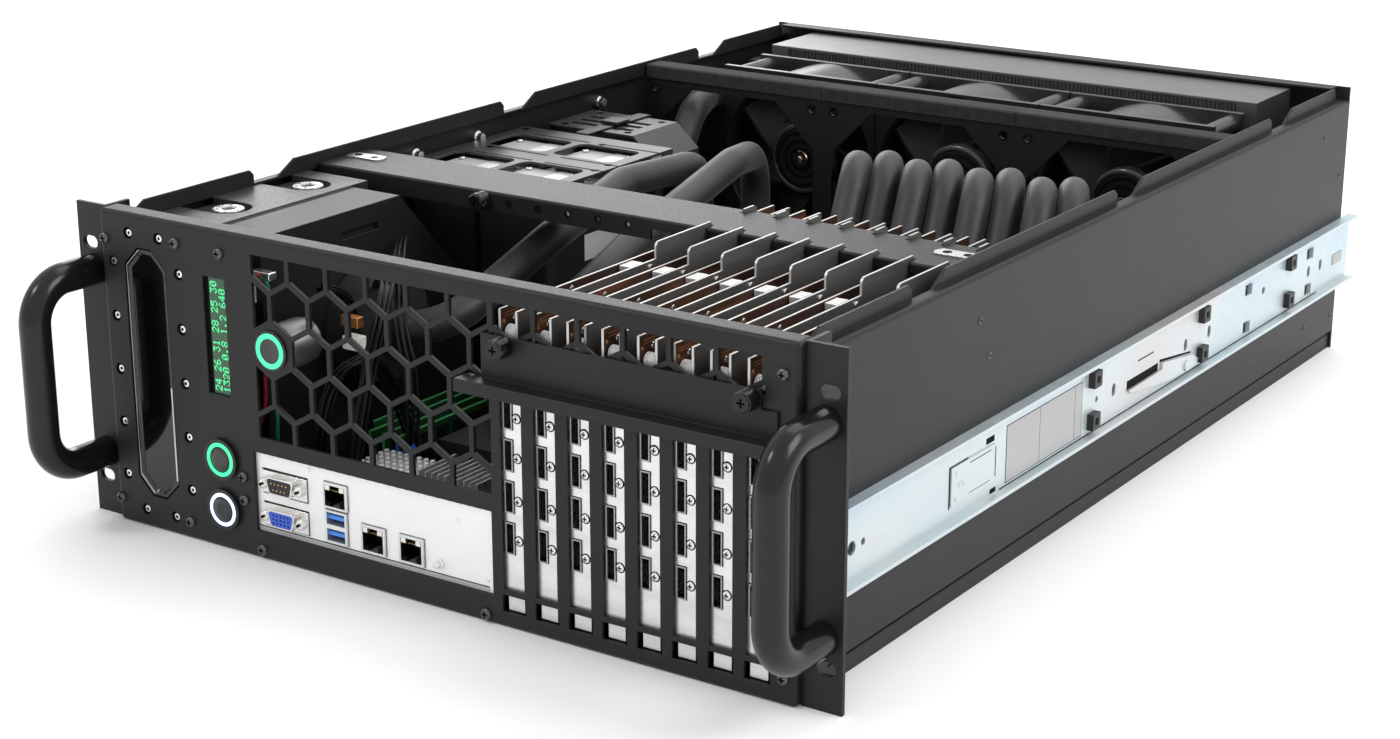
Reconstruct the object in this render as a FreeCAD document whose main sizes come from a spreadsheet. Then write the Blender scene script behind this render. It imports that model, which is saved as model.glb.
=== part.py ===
"""Liquid-cooled rack server for eight graphics cards, four rack units high, shown with its lid off.

Millimetres, +Z up, front towards -Y, +X to the right seen from the front.
Depths are counted from the face of the front panel, heights from the underside of the tray.
"""
import FreeCAD, Part
import math
import os
import re

import Sketcher

# Driving dimensions, each written once
SIZES = {
    # case, from left to right and from front to rear
    "left_bay": 103.5, "io_gap": 6.75, "right_bay": 14.96, "plumb_d": 249.0, "wall_gap": 51.0,
    "fan_gap": 14.0, "rear_gap": 11.0, "case_h": 177.0, "sheet": 1.5, "face_t": 2.0, "fold": 12.0,
    "pan_bend": 2.6, "side_bend": 2.4, "seam_z": 12.0, "tray_lip": 25.0, "shoulder_z": 169.0,
    "ledge": 7.5, "tab_slope": 14.0, "tab_round": 3.0, "tab1_from": 13.0, "tab1_to": 111.0,
    "tab3_l": 202.0, "tab4_l": 90.0, "tab_gap": 20.0,
    # rack ears and handles
    "ear_reach": 21.8, "ear_set": 5.0, "ear_t": 2.5, "ear_flange": 18.0, "slot_inset": 8.75,
    "rack_z": 133.35, "rack_slot_l": 10.5, "rack_slot_w": 7.0, "handle_reach": 45.0,
    "handle_tube": 17.0, "handle_low": 36.5, "handle_high": 140.5, "handle_bend": 22.0,
    # honeycomb of the front and rear panels
    "hex_pitch": 26.1, "hex_bar": 2.8, "hex_z": 163.3, "comb_low": 68.6, "comb_high": 167.6,
    "comb_top_low": 149.0, "rear_comb": 176.0, "rear_comb_edge": 5.0,
    # input and output shield
    "io_w": 158.75, "io_drop": 2.4, "io_h": 44.45, "io_rim": 2.0, "io_t": 0.8, "jack_fit": 0.4,
    "jack_proud": 1.5, "jack_wall": 1.2, "d_sub_x": 20.0, "d_sub_w": 31.0, "nose_w": 17.4,
    "nose_h": 8.4, "nose_taper": 1.3, "bridge_w": 24.0, "bridge_h": 31.0,
    # cards
    "card_pitch": 20.32, "window_w": 12.8, "window_low": 20.5, "window_gap": 0.2, "notch_w": 14.5,
    "notch_low": 8.5, "notch_high": 17.5, "tongue_w": 10.0, "bracket_w": 18.4, "bracket_t": 0.9,
    "bracket_top": 128.0, "foot_w": 12.0, "foot_reach": 9.0, "card_t": 1.6, "card_top": 164.2,
    "card_end": 248.0, "card_seat": 7.0, "block_t": 8.6, "block_from": 20.0, "block_to": 235.0,
    "block_low": 40.0, "block_drop": 12.2, "back_t": 1.5, "back_low": 36.0, "tab_from": 118.9,
    "tab_proud": 2.0, "tab_grip": 6.0, "tab_rear": 6.0, "port_x": 3.5, "port_w": 5.5, "port_h": 16.6,
    "port_wall": 0.7, "port_deep": 14.0, "port_gap": 0.3, "port_top": 15.4, "port_pitch": 21.67,
    "terminal_from": 99.0, "terminal_to": 110.0, "terminal_h": 10.0, "terminal_side": 0.8,
    "fitting_r": 8.6, "fitting_stub": 3.8, "fitting_l": 8.0, "fitting_z": 62.0,
    # clamp bar over the card brackets
    "clamp_top": 152.0, "clamp_t": 1.5, "clamp_reach": 11.0, "clamp_lip": 5.0, "clamp_notch": 9.0,
    "clamp_bend": 1.2, "clamp_screw_set": 4.7, "knob_r": 5.0, "knob_l": 9.0, "knob_gap": 0.1,
    "shank_r": 2.0, "shank_fit": 0.05, "shank_l": 4.2, "recess_w": 1.0, "recess_l": 4.4,
    "recess_d": 1.6,
    # crossbar over the cards
    "bar_from": 163.6, "bar_to": 208.4, "bar_h": 11.5, "bar_dip": 4.7, "bar_clear": 1.0,
    "bar_screw_drop": 5.4, "bar_slot_w": 3.4, "bar_seat": 6.0, "bar_hole_pitch": 20.2,
    "bar_hole_r": 1.6, "bar_bend": 1.4,
    # boards
    "board_from": 4.5, "board_to": 229.0, "board_z": 18.0, "board_t": 1.6, "stand_r": 3.2,
    "slot_w": 7.5, "slot_h": 11.25, "slot_from": 62.0, "slot_l": 89.0, "slot_groove": 0.2,
    "dimm_l": 133.3, "dimm_h": 31.2, "dimm_t": 1.4, "dimm_from": 70.0, "dimm_pitch": 9.4,
    "dimm_socket_w": 6.0, "dimm_socket_h": 8.0, "cpu_from": 92.0, "cpu_w": 62.0, "cpu_l": 82.0,
    "cpu_h": 30.0, "sink_pitch": 46.0, "sink_w": 40.0, "sink_from": 26.0, "sink_l": 30.0,
    "sink_h": 24.0, "sink_base": 4.0, "fin_t": 1.2,
    # reservoir, pump and fill caps
    "tank_from": 12.0, "tank_to": 155.0, "tank_low": 8.0, "tank_top": 168.0, "rim_low": 4.0,
    "rim_high": 172.0, "pane_t": 6.0, "glass_low": 19.0, "glass_high": 159.0, "glass_cut": 10.0,
    "cavity_d": 40.0, "bolt_r": 2.8, "bolt_l": 7.2, "bolt_hole": 3.2, "bolt_drive": 1.3,
    "bolt_low": 28.3, "bolt_pitch": 30.1, "bolt_top_z": 166.0, "bolt_low_z": 10.1, "cap_front": 64.0,
    "cap_rear": 128.0, "cap_r": 8.6, "cap_h": 3.5, "cap_stem": 6.0, "cap_stem_l": 12.0, "cap_fit": 0.05,
    "cap_drive": 4.2, "dish_r": 13.0, "dish_d": 4.0, "cover_from": 26.0, "cover_to": 138.0,
    "cover_foot": 196.0, "pump_y": 104.0, "pump_z": 104.0, "pump_r": 31.0, "pump_l": 24.0,
    "pump_eye": 17.0,
    # display, buttons and status light
    "lcd_low": 87.0, "lcd_high": 151.0, "lcd_rim": 5.0, "lcd_d": 9.0, "power_z": 51.3, "reset_z": 23.1,
    "bezel_r": 11.4, "bezel_h": 2.2, "barrel_r": 9.6, "barrel_l": 22.0, "barrel_floor": 3.0,
    "lens_out": 9.4, "lens_in": 7.2, "lens_h": 1.6, "plunger_r": 6.8, "plunger_l": 14.0,
    "plunger_sink": 0.4, "nut_r": 11.8, "nut_h": 3.0, "status_z": 118.1, "status_r": 10.8,
    "status_proud": 1.2, "status_l": 16.0, "status_stem": 8.0,
    # storage cage and controller cover
    "cage_gap": 3.0, "cage_l": 131.0, "cage_top": 156.0, "cage_leg": 10.0, "cage_win_l": 46.0,
    "cage_win_w": 34.0, "cage_win_x": 52.0, "cage_win_y": 58.0, "cage_win_r": 6.0, "drive_w": 47.0,
    "drive_l": 58.0, "drive_drop": 8.0, "hood_gap": 19.0, "hood_l": 50.0, "hood_top": 155.0,
    "hood_slope_x": 17.0, "hood_slope_z": 15.0, "hood_slot_w": 5.0, "hood_slot_l": 22.0,
    # fan wall, fans and radiator
    "wall_drop": 2.0, "wall_top": 174.0, "wall_flange": 15.0, "wall_open": 128.0, "wall_pitch": 141.5,
    "wall_mid_z": 97.4, "wall_cut": 30.0, "wall_hole": 2.4, "wall_holes": 124.5, "wall_leg": 16.0,
    "fan_size": 120.0, "fan_seam": 1.0, "fan_d": 50.0, "fan_rim": 0.4, "fan_skin": 1.6, "tip_gap": 1.5,
    "fan_flange": 4.0, "fan_corner": 7.5, "fan_hole_r": 2.2, "fan_post": 6.0, "hub_r": 24.5,
    "hub_from": 5.0, "hub_l": 30.0, "blade_t": 2.2, "blade_chord": 24.0, "blade_lead_root": 17.0,
    "blade_lead_tip": 10.0, "shaft_r": 3.0, "shaft_fit": 0.05, "motor_h": 9.0, "strut_w": 6.0,
    "rad_d": 58.0, "rad_h": 124.0, "rad_w": 366.0, "rad_tank": 14.0, "rad_skin": 2.0,
    "rad_port_set": 10.0, "rad_port_l": 26.0, "rad_port_w": 26.0, "rad_port_drop": 28.0,
    # shelf and power supplies
    "shelf_gap": 5.5, "shelf_t": 2.0, "psu_pitch": 100.0, "psu_w": 86.0, "psu_h": 41.0, "psu_l": 190.0,
    "psu_fit": 0.3, "inlet_w": 27.0, "inlet_h": 20.0, "inlet_side": 22.0, "inlet_proud": 2.0,
    "inlet_d": 12.0, "inlet_wall": 2.0, "psu_grille": 15.0, "psu_grille_d": 6.0, "pull_l": 9.0,
    "pull_h": 26.0, "pull_t": 2.4, "pull_w": 4.0, "pull_round": 2.0,
    # hoses
    "hose_r": 9.5, "main_bend": 32.0, "card_hose_r": 8.8, "hose_bend": 27.0, "rise_l": 36.0,
    "crown_z": 161.0, "crown_lean": 15.0, "crown_side": 17.9, "crown_back": 35.8, "stagger_side": 5.35,
    "stagger_back": 10.7, "manifold_d": 42.0, "manifold_gap": 75.0, "manifold_edge": 16.0,
    "manifold_top": 60.0, "return_set": 3.0, "return_w": 70.0, "return_gap": 17.0, "supply_gap": 15.0,
    # slide rails and their release levers
    "rail_from": 24.5, "rail_over": 12.0, "rail_low": 46.2, "rail_h": 43.5, "rail_t": 1.5,
    "rail_w": 7.0, "rail_lip": 2.0, "lever_pin_y": 426.9, "lever_up": 8.3, "lever_t": 1.5,
    "lever_gap": 0.1, "pin_r": 3.0, "pin_fit": 0.05, "pin_l": 3.0, "rail_win": 7.0,
    "rail_oval_w": 4.6, "rail_oval_l": 7.4,
}
# Places counted from an edge: each group starts from one formula
PLACES = {
    "-case_w / 2 +": {
        "rim_left": 3.0, "cage_left": 5.5, "tank_left": 8.0, "bolt_left": 8.2, "hood_left": 9.5,
        "glass_left": 17.0, "bolt_a": 21.0, "cap_x": 32.5, "bolt_b": 43.1, "glass_right": 47.5,
        "tank_right": 53.5, "bolt_right": 56.5, "cover_left": 56.5, "rim_right": 62.5, "lcd_left": 74.1,
        "hood_right": 77.5, "button_x": 81.0, "lcd_right": 89.5, "cover_right": 91.5,
    },
    "io_left +": {
        "board_left": -5.0, "comb_left": 5.4, "dimm_left_x": 10.0, "bar_screw_x": 27.9, "hex_x": 16.95,
        "cage_right": 18.0, "bar_hole_x": 45.0, "sink_x": 64.0, "cpu_x": 80.0, "dimm_right_x": 119.0,
        "comb_right": 159.7,
    },
    "card_x +": {
        "manifold_left": -39.0, "clamp_shelf_left": -19.5, "bar_step_x": -24.8, "clamp_left": -9.5,
        "screw_left_x": 4.9,
    },
    "card_x + card_pitch * 7 +": {
        "manifold_right": -24.0, "screw_right_x": 3.36, "comb_top_right": 9.7,
    },
    "case_w / 2 -": {"wall_side": 8.0, "bar_end": 8.3, "board_right": 10.5, "clamp_right": 10.5},
}
# Sizes that follow from others
RESULTS = {
    "case_w": "left_bay + io_w + io_gap + card_pitch * 7 + window_w + right_bay",
    "io_left": "left_bay - case_w / 2",
    "card_x": "io_left + io_w + io_gap",
    "ear_w": "case_w + ear_reach * 2",
    "rack_x": "ear_w - slot_inset * 2",
    "handle_x": "case_w / 2 + ear_reach / 2",
    "wall_y": "card_end + plumb_d",
    "fan_y": "wall_y + wall_gap",
    "rad_from": "fan_y + fan_d + fan_gap",
    "case_d": "rad_from + rad_d + rear_gap",
    "rail_end": "case_d + rail_over",
    "tab4_to": "case_d - face_t - ledge",
    "tab4_from": "tab4_to - tab4_l",
    "tab3_to": "tab4_from - tab_gap",
    "tab3_from": "tab3_to - tab3_l",
    "tab2_to": "tab3_from - tab_gap",
    "tab2_from": "tab1_to + tab_gap",
    "io_low": "board_z - io_drop",
    "window_high": "bracket_top + window_gap",
    "block_top": "card_top - block_drop",
    "bar_low": "card_top - bar_dip",
    "bar_step_z": "card_top + bar_clear",
    "bar_top": "bar_low + bar_h",
    "tab_top": "bar_top + tab_proud",
    "bar_screw_z": "bar_top - bar_screw_drop",
    "clamp_screw_z": "clamp_top - clamp_screw_set",
    "cage_from": "board_to + cage_gap",
    "cage_to": "cage_from + cage_l",
    "hood_from": "cage_to + hood_gap",
    "hood_to": "hood_from + hood_l",
    "shelf_z": "sheet + psu_h + shelf_gap",
    "rad_low": "shelf_z + shelf_t",
    "rad_high": "rad_low + rad_h",
    "wall_low": "shelf_z - wall_drop",
    "fan_z": "rad_low + fan_size / 2",
    "fan_pitch": "fan_size + fan_seam",
    "fan_barrel": "fan_size / 2 - fan_rim",
    "fan_bore": "fan_barrel - fan_skin",
    "blade_tip": "fan_bore - tip_gap",
    "fan_holes": "fan_size - fan_corner * 2",
    "rad_port_y": "rad_from + rad_port_set",
    "rad_port_z": "rad_high - rad_port_drop",
    "rear_comb_low": "rad_low + rear_comb_edge",
    "rear_comb_high": "rad_high - rear_comb_edge",
    "psu_from": "case_d - psu_l",
    "manifold_to": "psu_from - manifold_gap",
    "manifold_from": "manifold_to - manifold_d",
    "crown_to": "manifold_from + manifold_edge",
    "crown_from": "crown_to - crown_back",
    "rise_y": "card_end + rise_l",
    "return_left": "hood_right + hood_slope_x + return_set",
    "return_right": "return_left + return_w",
    "return_from": "cage_to + return_gap",
    "return_to": "psu_from - supply_gap",
    "lever_z": "rail_low + lever_up",
}
CARDS = range(8)

doc = FreeCAD.newDocument("gpu_server")
dims = doc.addObject("Spreadsheet::Sheet", "Dims")
CELLS = {word: str(size) for word, size in SIZES.items()}
CELLS |= {word: f"={edge} {size}" for edge, places in PLACES.items() for word, size in places.items()}
CELLS |= {word: f"={formula}" for word, formula in RESULTS.items()}
for row, word in enumerate(CELLS, start=1):
    dims.set(f"A{row}", word)
    dims.setAlias(f"B{row}", word)
for row, content in enumerate(CELLS.values(), start=1):
    dims.set(f"B{row}", content)
doc.recompute()

nodes = {}

# The whole part is centred on its origin from the handles' front to the rails' rear end
FRONT = "(handle_reach + handle_tube / 2 - ear_set - rail_end) / 2"
HALF = "case_w / 2"
BOARD_TOP = "board_z + board_t"


def named(formula):
    """Formula with each size written as a cell of the sheet."""
    return re.sub(r"[a-z]\w*", lambda w: f"Dims.{w[0]}" if w[0] in CELLS else w[0], str(formula))


def value(formula):
    """Number that a formula gives at present."""
    return float(dims.evalExpression(named(formula)))


def bind(thing, prop, formula):
    """Tie a property to a formula of the sheet's sizes."""
    thing.setExpression(prop, named(formula))


def deep(formula):
    """Y of a depth counted from the front panel's face."""
    return f"{FRONT} + ({formula})"


def span(low, size):
    """Low and high formula of a stretch that starts at low."""
    return low, f"({low}) + ({size})"


def about(middle, size):
    """Low and high formula of a stretch with a given middle."""
    return f"({middle}) - ({size}) / 2", f"({middle}) + ({size}) / 2"


def box(name, x, y, z):
    """Box between low and high formulas; y is counted from the front panel's face."""
    solid = doc.addObject("Part::Box", name)
    stretches = (x, (deep(y[0]), deep(y[1])), z)
    for axis, side, (low, high) in zip("xyz", ("Length", "Width", "Height"), stretches):
        bind(solid, side, f"({high}) - ({low})")
        bind(solid, f"Placement.Base.{axis}", low)
    return solid


TURNS = {
    "x": FreeCAD.Rotation(FreeCAD.Vector(0, 1, 0), 90),
    "y": FreeCAD.Rotation(FreeCAD.Vector(1, 0, 0), -90),
    "z": FreeCAD.Rotation(),
}
HEX_TURN = FreeCAD.Rotation(FreeCAD.Vector(1, 1, 1), -120)


def rod(name, axis, x, y, z, radius):
    """Cylinder along an axis: that axis has a low and a high formula, the others one formula each."""
    solid = doc.addObject("Part::Cylinder", name)
    solid.Placement.Rotation = TURNS[axis]
    low, high = {"x": x, "y": y, "z": z}[axis]
    start = {"x": x, "y": y, "z": z, axis: low}
    bind(solid, "Radius", radius)
    bind(solid, "Height", f"({high}) - ({low})")
    bind(solid, "Placement.Base.x", start["x"])
    bind(solid, "Placement.Base.y", deep(start["y"]))
    bind(solid, "Placement.Base.z", start["z"])
    return solid


def hexagon(name, x, y, z, flats):
    """Hexagonal prism along Y with upright flats."""
    solid = doc.addObject("Part::Prism", name)
    solid.Polygon = 6
    solid.Placement.Rotation = HEX_TURN
    bind(solid, "Circumradius", f"({flats}) / sqrt(3)")
    bind(solid, "Height", f"({y[1]}) - ({y[0]})")
    bind(solid, "Placement.Base.x", x)
    bind(solid, "Placement.Base.y", deep(y[0]))
    bind(solid, "Placement.Base.z", z)
    return solid


def group(name, solids):
    """Several solids side by side."""
    many = doc.addObject("Part::Compound", name)
    many.Links = solids
    return many


def fuse(name, solids):
    """Solids joined into one."""
    one = doc.addObject("Part::MultiFuse", name)
    one.Shapes = solids
    return one


def cut(name, base, tools):
    """Base with the tools taken out of it."""
    rest = doc.addObject("Part::Cut", name)
    rest.Base = base
    rest.Tool = tools[0] if len(tools) == 1 else fuse(f"{name}_tools", tools)
    return rest


def common(name, base, tool):
    """What base and tool share."""
    shared = doc.addObject("Part::Common", name)
    shared.Base = base
    shared.Tool = tool
    return shared


def bent(name, base, radius, *tests):
    """Base with the edges rounded that pass one of the tests."""
    doc.recompute()
    rounded = doc.addObject("Part::Fillet", name)
    rounded.Base = base
    size = value(radius)
    edges = enumerate(base.Shape.Edges, start=1)
    picked = [i for i, edge in edges if any(test(edge.BoundBox) for test in tests)]
    assert picked, f"{name} has no edges to round"
    rounded.Edges = [(i, size, size) for i in picked]
    return rounded


def running(axis, **places):
    """Test for straight edges along an axis, if wanted only at given places of the other axes."""

    def test(bounds):
        low = {"x": bounds.XMin, "y": bounds.YMin, "z": bounds.ZMin}
        long = {"x": bounds.XLength, "y": bounds.YLength, "z": bounds.ZLength}
        straight = all(size < 0.001 for key, size in long.items() if key != axis)
        return straight and all(abs(low[key] - value(at)) < 0.001 for key, at in places.items())

    return test


def mirror(name, source):
    """Left-hand copy of a right-hand piece."""
    copy = doc.addObject("Part::Mirroring", name)
    copy.Source = source
    copy.Normal = FreeCAD.Vector(1, 0, 0)
    return copy


def body_of(name):
    """Empty body."""
    return doc.addObject("PartDesign::Body", name)


def sketch_on(body, name, plane, offset):
    """Empty sketch on one of the body's own planes, moved along that plane's normal."""
    sketch = body.newObject("Sketcher::SketchObject", name)
    support = next(item for item in body.Origin.OriginFeatures if item.Role == plane)
    sketch.AttachmentSupport = (support, [""])
    sketch.MapMode = "FlatFace"
    bind(sketch, "AttachmentOffset.Base.z", offset)
    return sketch


def outline(body, name, plane, offset, points):
    """Closed polygon whose corners are tied to the sheet."""
    sketch = sketch_on(body, name, plane, offset)
    corners = [FreeCAD.Vector(value(u), value(v), 0) for u, v in points]
    count = len(corners)
    for i in range(count):
        sketch.addGeometry(Part.LineSegment(corners[i], corners[(i + 1) % count]))
    for i in range(count):
        sketch.addConstraint(Sketcher.Constraint("Coincident", i, 2, (i + 1) % count, 1))
    for i, (u, v) in enumerate(points):
        across = sketch.addConstraint(Sketcher.Constraint("DistanceX", -1, 1, i, 1, corners[i].x))
        bind(sketch, f"Constraints[{across}]", u)
        up = sketch.addConstraint(Sketcher.Constraint("DistanceY", -1, 1, i, 1, corners[i].y))
        bind(sketch, f"Constraints[{up}]", v)
    return sketch


def pad(body, name, sketch, length, back=False):
    """Sketch pulled into a solid."""
    solid = body.newObject("PartDesign::Pad", name)
    solid.Profile = sketch
    solid.Reversed = back
    bind(solid, "Length", length)
    return solid


def section_pad(body, name, points, y):
    """Section in X and Z, pulled along +Y between two depths."""
    sketch = outline(body, f"{name}_section", "XZ_Plane", f"-({deep(y[0])})", points)
    return pad(body, name, sketch, f"({y[1]}) - ({y[0]})", back=True)


def side_pad(body, name, points, x):
    """Side view in Y and Z, pulled along +X between two formulas."""
    placed = [(deep(y), z) for y, z in points]
    sketch = outline(body, f"{name}_side", "YZ_Plane", x[0], placed)
    return pad(body, name, sketch, f"({x[1]}) - ({x[0]})")


def turned(body, name, x, y, z, points):
    """Solid turned about an axis along Y: points are radius and depth from y."""
    placed = [(f"({x}) + ({radius})", f"({deep(y)}) + ({along})") for radius, along in points]
    sketch = outline(body, f"{name}_half", "XY_Plane", z, placed)
    axis = sketch.addGeometry(
        Part.LineSegment(
            FreeCAD.Vector(value(x), value(deep(y)), 0),
            FreeCAD.Vector(value(x), value(deep(y)) + value("hub_l"), 0),
        ),
        True,
    )
    for end in (1, 2):
        across = sketch.addConstraint(Sketcher.Constraint("DistanceX", -1, 1, axis, end, value(x)))
        bind(sketch, f"Constraints[{across}]", x)
    solid = body.newObject("PartDesign::Revolution", name)
    solid.Profile = sketch
    solid.ReferenceAxis = (sketch, ["Axis0"])
    return solid


def tube(points, radius, bend):
    """Round hose along points: straight runs joined by tangent arcs, tighter where room is short."""
    edges = []
    start = points[0]
    halves = [0.0]
    for before, corner, after in zip(points, points[1:], points[2:]):
        halves.append((math.pi - (before - corner).getAngle(after - corner)) / 2)
    halves.append(0.0)
    room = [
        (points[i + 1] - points[i]).Length / (math.tan(halves[i]) + math.tan(halves[i + 1]))
        for i in range(len(points) - 1)
    ]
    for i in range(1, len(points) - 1):
        corner = points[i]
        inward = (points[i - 1] - corner).normalize()
        outward = (points[i + 1] - corner).normalize()
        arc = min(bend, 0.98 * room[i - 1], 0.98 * room[i])
        reach = arc * math.tan(halves[i])
        bisector = (inward + outward).normalize()
        middle = corner + bisector * (arc / math.cos(halves[i]) - arc)
        first = corner + inward * reach
        last = corner + outward * reach
        edges.append(Part.LineSegment(start, first).toShape())
        edges.append(Part.Arc(first, middle, last).toShape())
        start = last
    edges.append(Part.LineSegment(start, points[-1]).toShape())
    path = Part.Wire(edges)
    ring = Part.Wire(Part.Circle(points[0], points[1] - points[0], radius).toShape())
    solid = path.makePipe(Part.Face(ring))
    expected = math.pi * radius**2 * path.Length
    assert abs(solid.Volume - expected) < 0.01 * expected, "hose volume differs from section times length"
    return solid


def point(x, y, z):
    """Point of a hose's route, from formulas."""
    return FreeCAD.Vector(value(x), value(deep(y)), value(z))


def honeycomb(name, y, x_range, z_range, skip=()):
    """Hexagonal holes in a region, on one grid for every panel."""
    pitch, rise = value("hex_pitch"), value("hex_pitch") * math.sqrt(3) / 2
    rows = range(
        int((value("hex_z") - value(z_range[1])) // rise) - 1,
        int((value("hex_z") - value(z_range[0])) // rise) + 2,
    )
    columns = range(
        int((value(x_range[0]) - value("hex_x")) // pitch) - 1,
        int((value(x_range[1]) - value("hex_x")) // pitch) + 2,
    )
    cells = []
    for row in rows:
        for column in columns:
            if (row, column) in skip:
                continue
            across = f"hex_x + hex_pitch * ({column} + {row % 2} / 2)"
            height = f"hex_z - hex_pitch * sqrt(3) / 2 * ({row})"
            clear = value("hex_pitch") / 2
            inside_x = value(x_range[0]) - clear < value(across) < value(x_range[1]) + clear
            inside_z = value(z_range[0]) - clear < value(height) < value(z_range[1]) + clear
            if inside_x and inside_z:
                cells.append(hexagon(f"{name}_{row}_{column}", across, y, height, "hex_pitch - hex_bar"))
    return common(
        f"{name}_cells", group(f"{name}_grid", cells), box(f"{name}_region", x_range, y, z_range)
    )


def make_tray():
    """Folded base tray with the pressed-in standoffs of the motherboard."""
    body = body_of("tray_fold")
    side = f"{HALF} - sheet"
    wall = [
        (f"-({side})", "0"), (side, "0"), (side, "tray_lip"), (f"{side} - sheet", "tray_lip"),
        (f"{side} - sheet", "sheet"), (f"-({side}) + sheet", "sheet"), (f"-({side}) + sheet", "tray_lip"),
        (f"-({side})", "tray_lip"),
    ]
    section_pad(body, "tray_sheet", wall, ("fold", "case_d - face_t"))
    stands = []
    for i in range(4):
        for j in range(3):
            x = f"board_left + stand_r * 2 + {i} * (board_right - board_left - stand_r * 4) / 3"
            y = f"board_from + fold + {j} * (board_to - board_from - fold * 2) / 2"
            stands.append(rod(f"stand_{i}_{j}", "z", x, y, ("sheet / 2", "board_z"), "stand_r"))
    nodes["base_tray"] = fuse("base_tray", [body] + stands)


def make_sides():
    """Side panels: outer sheet, inward ledge and the upright tabs that guide the lid."""
    body = body_of("side_fold")
    inner = f"{HALF} - ledge"
    section = [
        (HALF, "seam_z"), (HALF, "shoulder_z"), (inner, "shoulder_z"), (inner, "shoulder_z - sheet"),
        (f"{HALF} - sheet", "shoulder_z - sheet"), (f"{HALF} - sheet", "seam_z"),
    ]
    section_pad(body, "side_sheet", section, ("fold", "case_d - face_t"))
    for i in range(1, 5):
        low, high = f"tab{i}_from", f"tab{i}_to"
        side = [
            (low, "shoulder_z - sheet"), (low, "shoulder_z"), (f"{low} + tab_slope", "case_h"),
            (f"{high} - tab_round", "case_h"), (high, "case_h - tab_round"), (high, "shoulder_z - sheet"),
        ]
        side_pad(body, f"lid_tab_{i}", side, (inner, f"{inner} + sheet"))
    fold = bent("side_bend_edge", body, "side_bend", running("y", x=HALF, z="shoulder_z"))
    seat = box(
        "bar_seat_right",
        ("bar_end - bar_seat", f"{HALF} - sheet"),
        ("bar_from", "bar_to"),
        span("bar_low - sheet", "sheet"),
    )
    nodes["right_side_panel"] = fuse("right_side_panel", [fold, seat])
    nodes["left_side_panel"] = mirror("left_side_panel", nodes["right_side_panel"])


def psu_x(i):
    """Middle of a power supply."""
    return f"psu_pitch * ({i} - 1.5)"


def make_rear():
    """Rear panel with the radiator's exhaust honeycomb and four power-supply bays."""
    face = box("rear_face", about("0", "case_w"), ("case_d - face_t", "case_d"), ("0", "case_h"))
    flange = box(
        "rear_flange",
        about("0", "(case_w - ledge * 2) - sheet * 2"),
        ("case_d - fold", "case_d"),
        ("case_h - sheet", "case_h"),
    )
    y = ("case_d - face_t * 2", "case_d + face_t")
    vents = honeycomb("exhaust", y, about("0", "rear_comb * 2"), ("rear_comb_low", "rear_comb_high"))
    bays = [
        box(
            f"bay_{i}",
            about(psu_x(i), "psu_w + psu_fit * 2"),
            y,
            ("sheet - psu_fit", "sheet + psu_h + psu_fit"),
        )
        for i in range(4)
    ]
    nodes["rear_panel"] = cut("rear_panel", fuse("rear_sheet", [face, flange]), [vents] + bays)


def card_x(i):
    """Left edge of a card's window."""
    return f"(card_x + card_pitch * {i})"


def bolt_places():
    """Places of the screws round the reservoir's window."""
    columns = [(x, f"bolt_low + bolt_pitch * {i}") for x in ("bolt_left", "bolt_right") for i in range(4)]
    ends = [(x, z) for x in ("bolt_a", "bolt_b") for z in ("bolt_low_z", "bolt_top_z")]
    upper = [(x, "bolt_low + bolt_pitch * 4") for x in ("bolt_left", "bolt_right")]
    return columns + upper + ends


def pane_outline(y):
    """Octagonal cut of the reservoir's sight window."""
    body = body_of("sight_cut")
    points = [
        ("glass_left", "glass_low + glass_cut"), ("glass_left + glass_cut", "glass_low"),
        ("glass_right - glass_cut", "glass_low"), ("glass_right", "glass_low + glass_cut"),
        ("glass_right", "glass_high - glass_cut"), ("glass_right - glass_cut", "glass_high"),
        ("glass_left + glass_cut", "glass_high"), ("glass_left", "glass_high - glass_cut"),
    ]
    section_pad(body, "sight_prism", points, y)
    return body


def make_front():
    """Front pan with folded edges, honeycomb, card windows and the cut-outs of its fittings."""
    y = ("-face_t", "face_t * 2")
    block = box("pan_block", about("0", "case_w"), ("0", "fold"), ("0", "case_h"))
    face = deep("0")
    shell = bent("pan_bends", block, "pan_bend", running("x", y=face), running("z", y=face), running("y"))
    inside = box(
        "pan_inside",
        about("0", "case_w - face_t * 2"),
        ("face_t", "fold * 2"),
        ("sheet", "case_h - sheet"),
    )
    tools = [
        honeycomb("grille", y, ("comb_left", "comb_right"), ("comb_low", "comb_high"), skip=((2, 0),)),
        honeycomb("row", y, ("comb_right + hex_bar", "comb_top_right"), ("comb_top_low", "comb_high")),
        box("io_cut", span("io_left", "io_w"), y, span("io_low", "io_h")),
        box("lcd_cut", ("lcd_left", "lcd_right"), y, ("lcd_low", "lcd_high")),
        pane_outline(y),
        rod("power_cut", "y", "button_x", y, "power_z", "barrel_r + jack_fit"),
        rod("reset_cut", "y", "button_x", y, "reset_z", "barrel_r + jack_fit"),
        rod("status_cut", "y", "hex_x", y, "status_z", "status_stem + jack_fit"),
    ]
    for i in CARDS:
        x = card_x(i)
        tools.append(box(f"window_{i}", span(x, "window_w"), y, ("window_low", "window_high")))
        notch = about(f"{x} + window_w / 2", "notch_w")
        tools.append(box(f"notch_{i}", notch, y, ("notch_low", "notch_high")))
    for i, (x, z) in enumerate(bolt_places()):
        tools.append(rod(f"bolt_cut_{i}", "y", x, y, z, "bolt_hole"))
    for x in ("screw_left_x", "screw_right_x"):
        tools.append(rod(f"{x}_cut", "y", x, y, "clamp_screw_z", "shank_r + shank_fit"))
    nodes["front_panel"] = cut("front_panel", shell, [inside] + tools)


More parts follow.
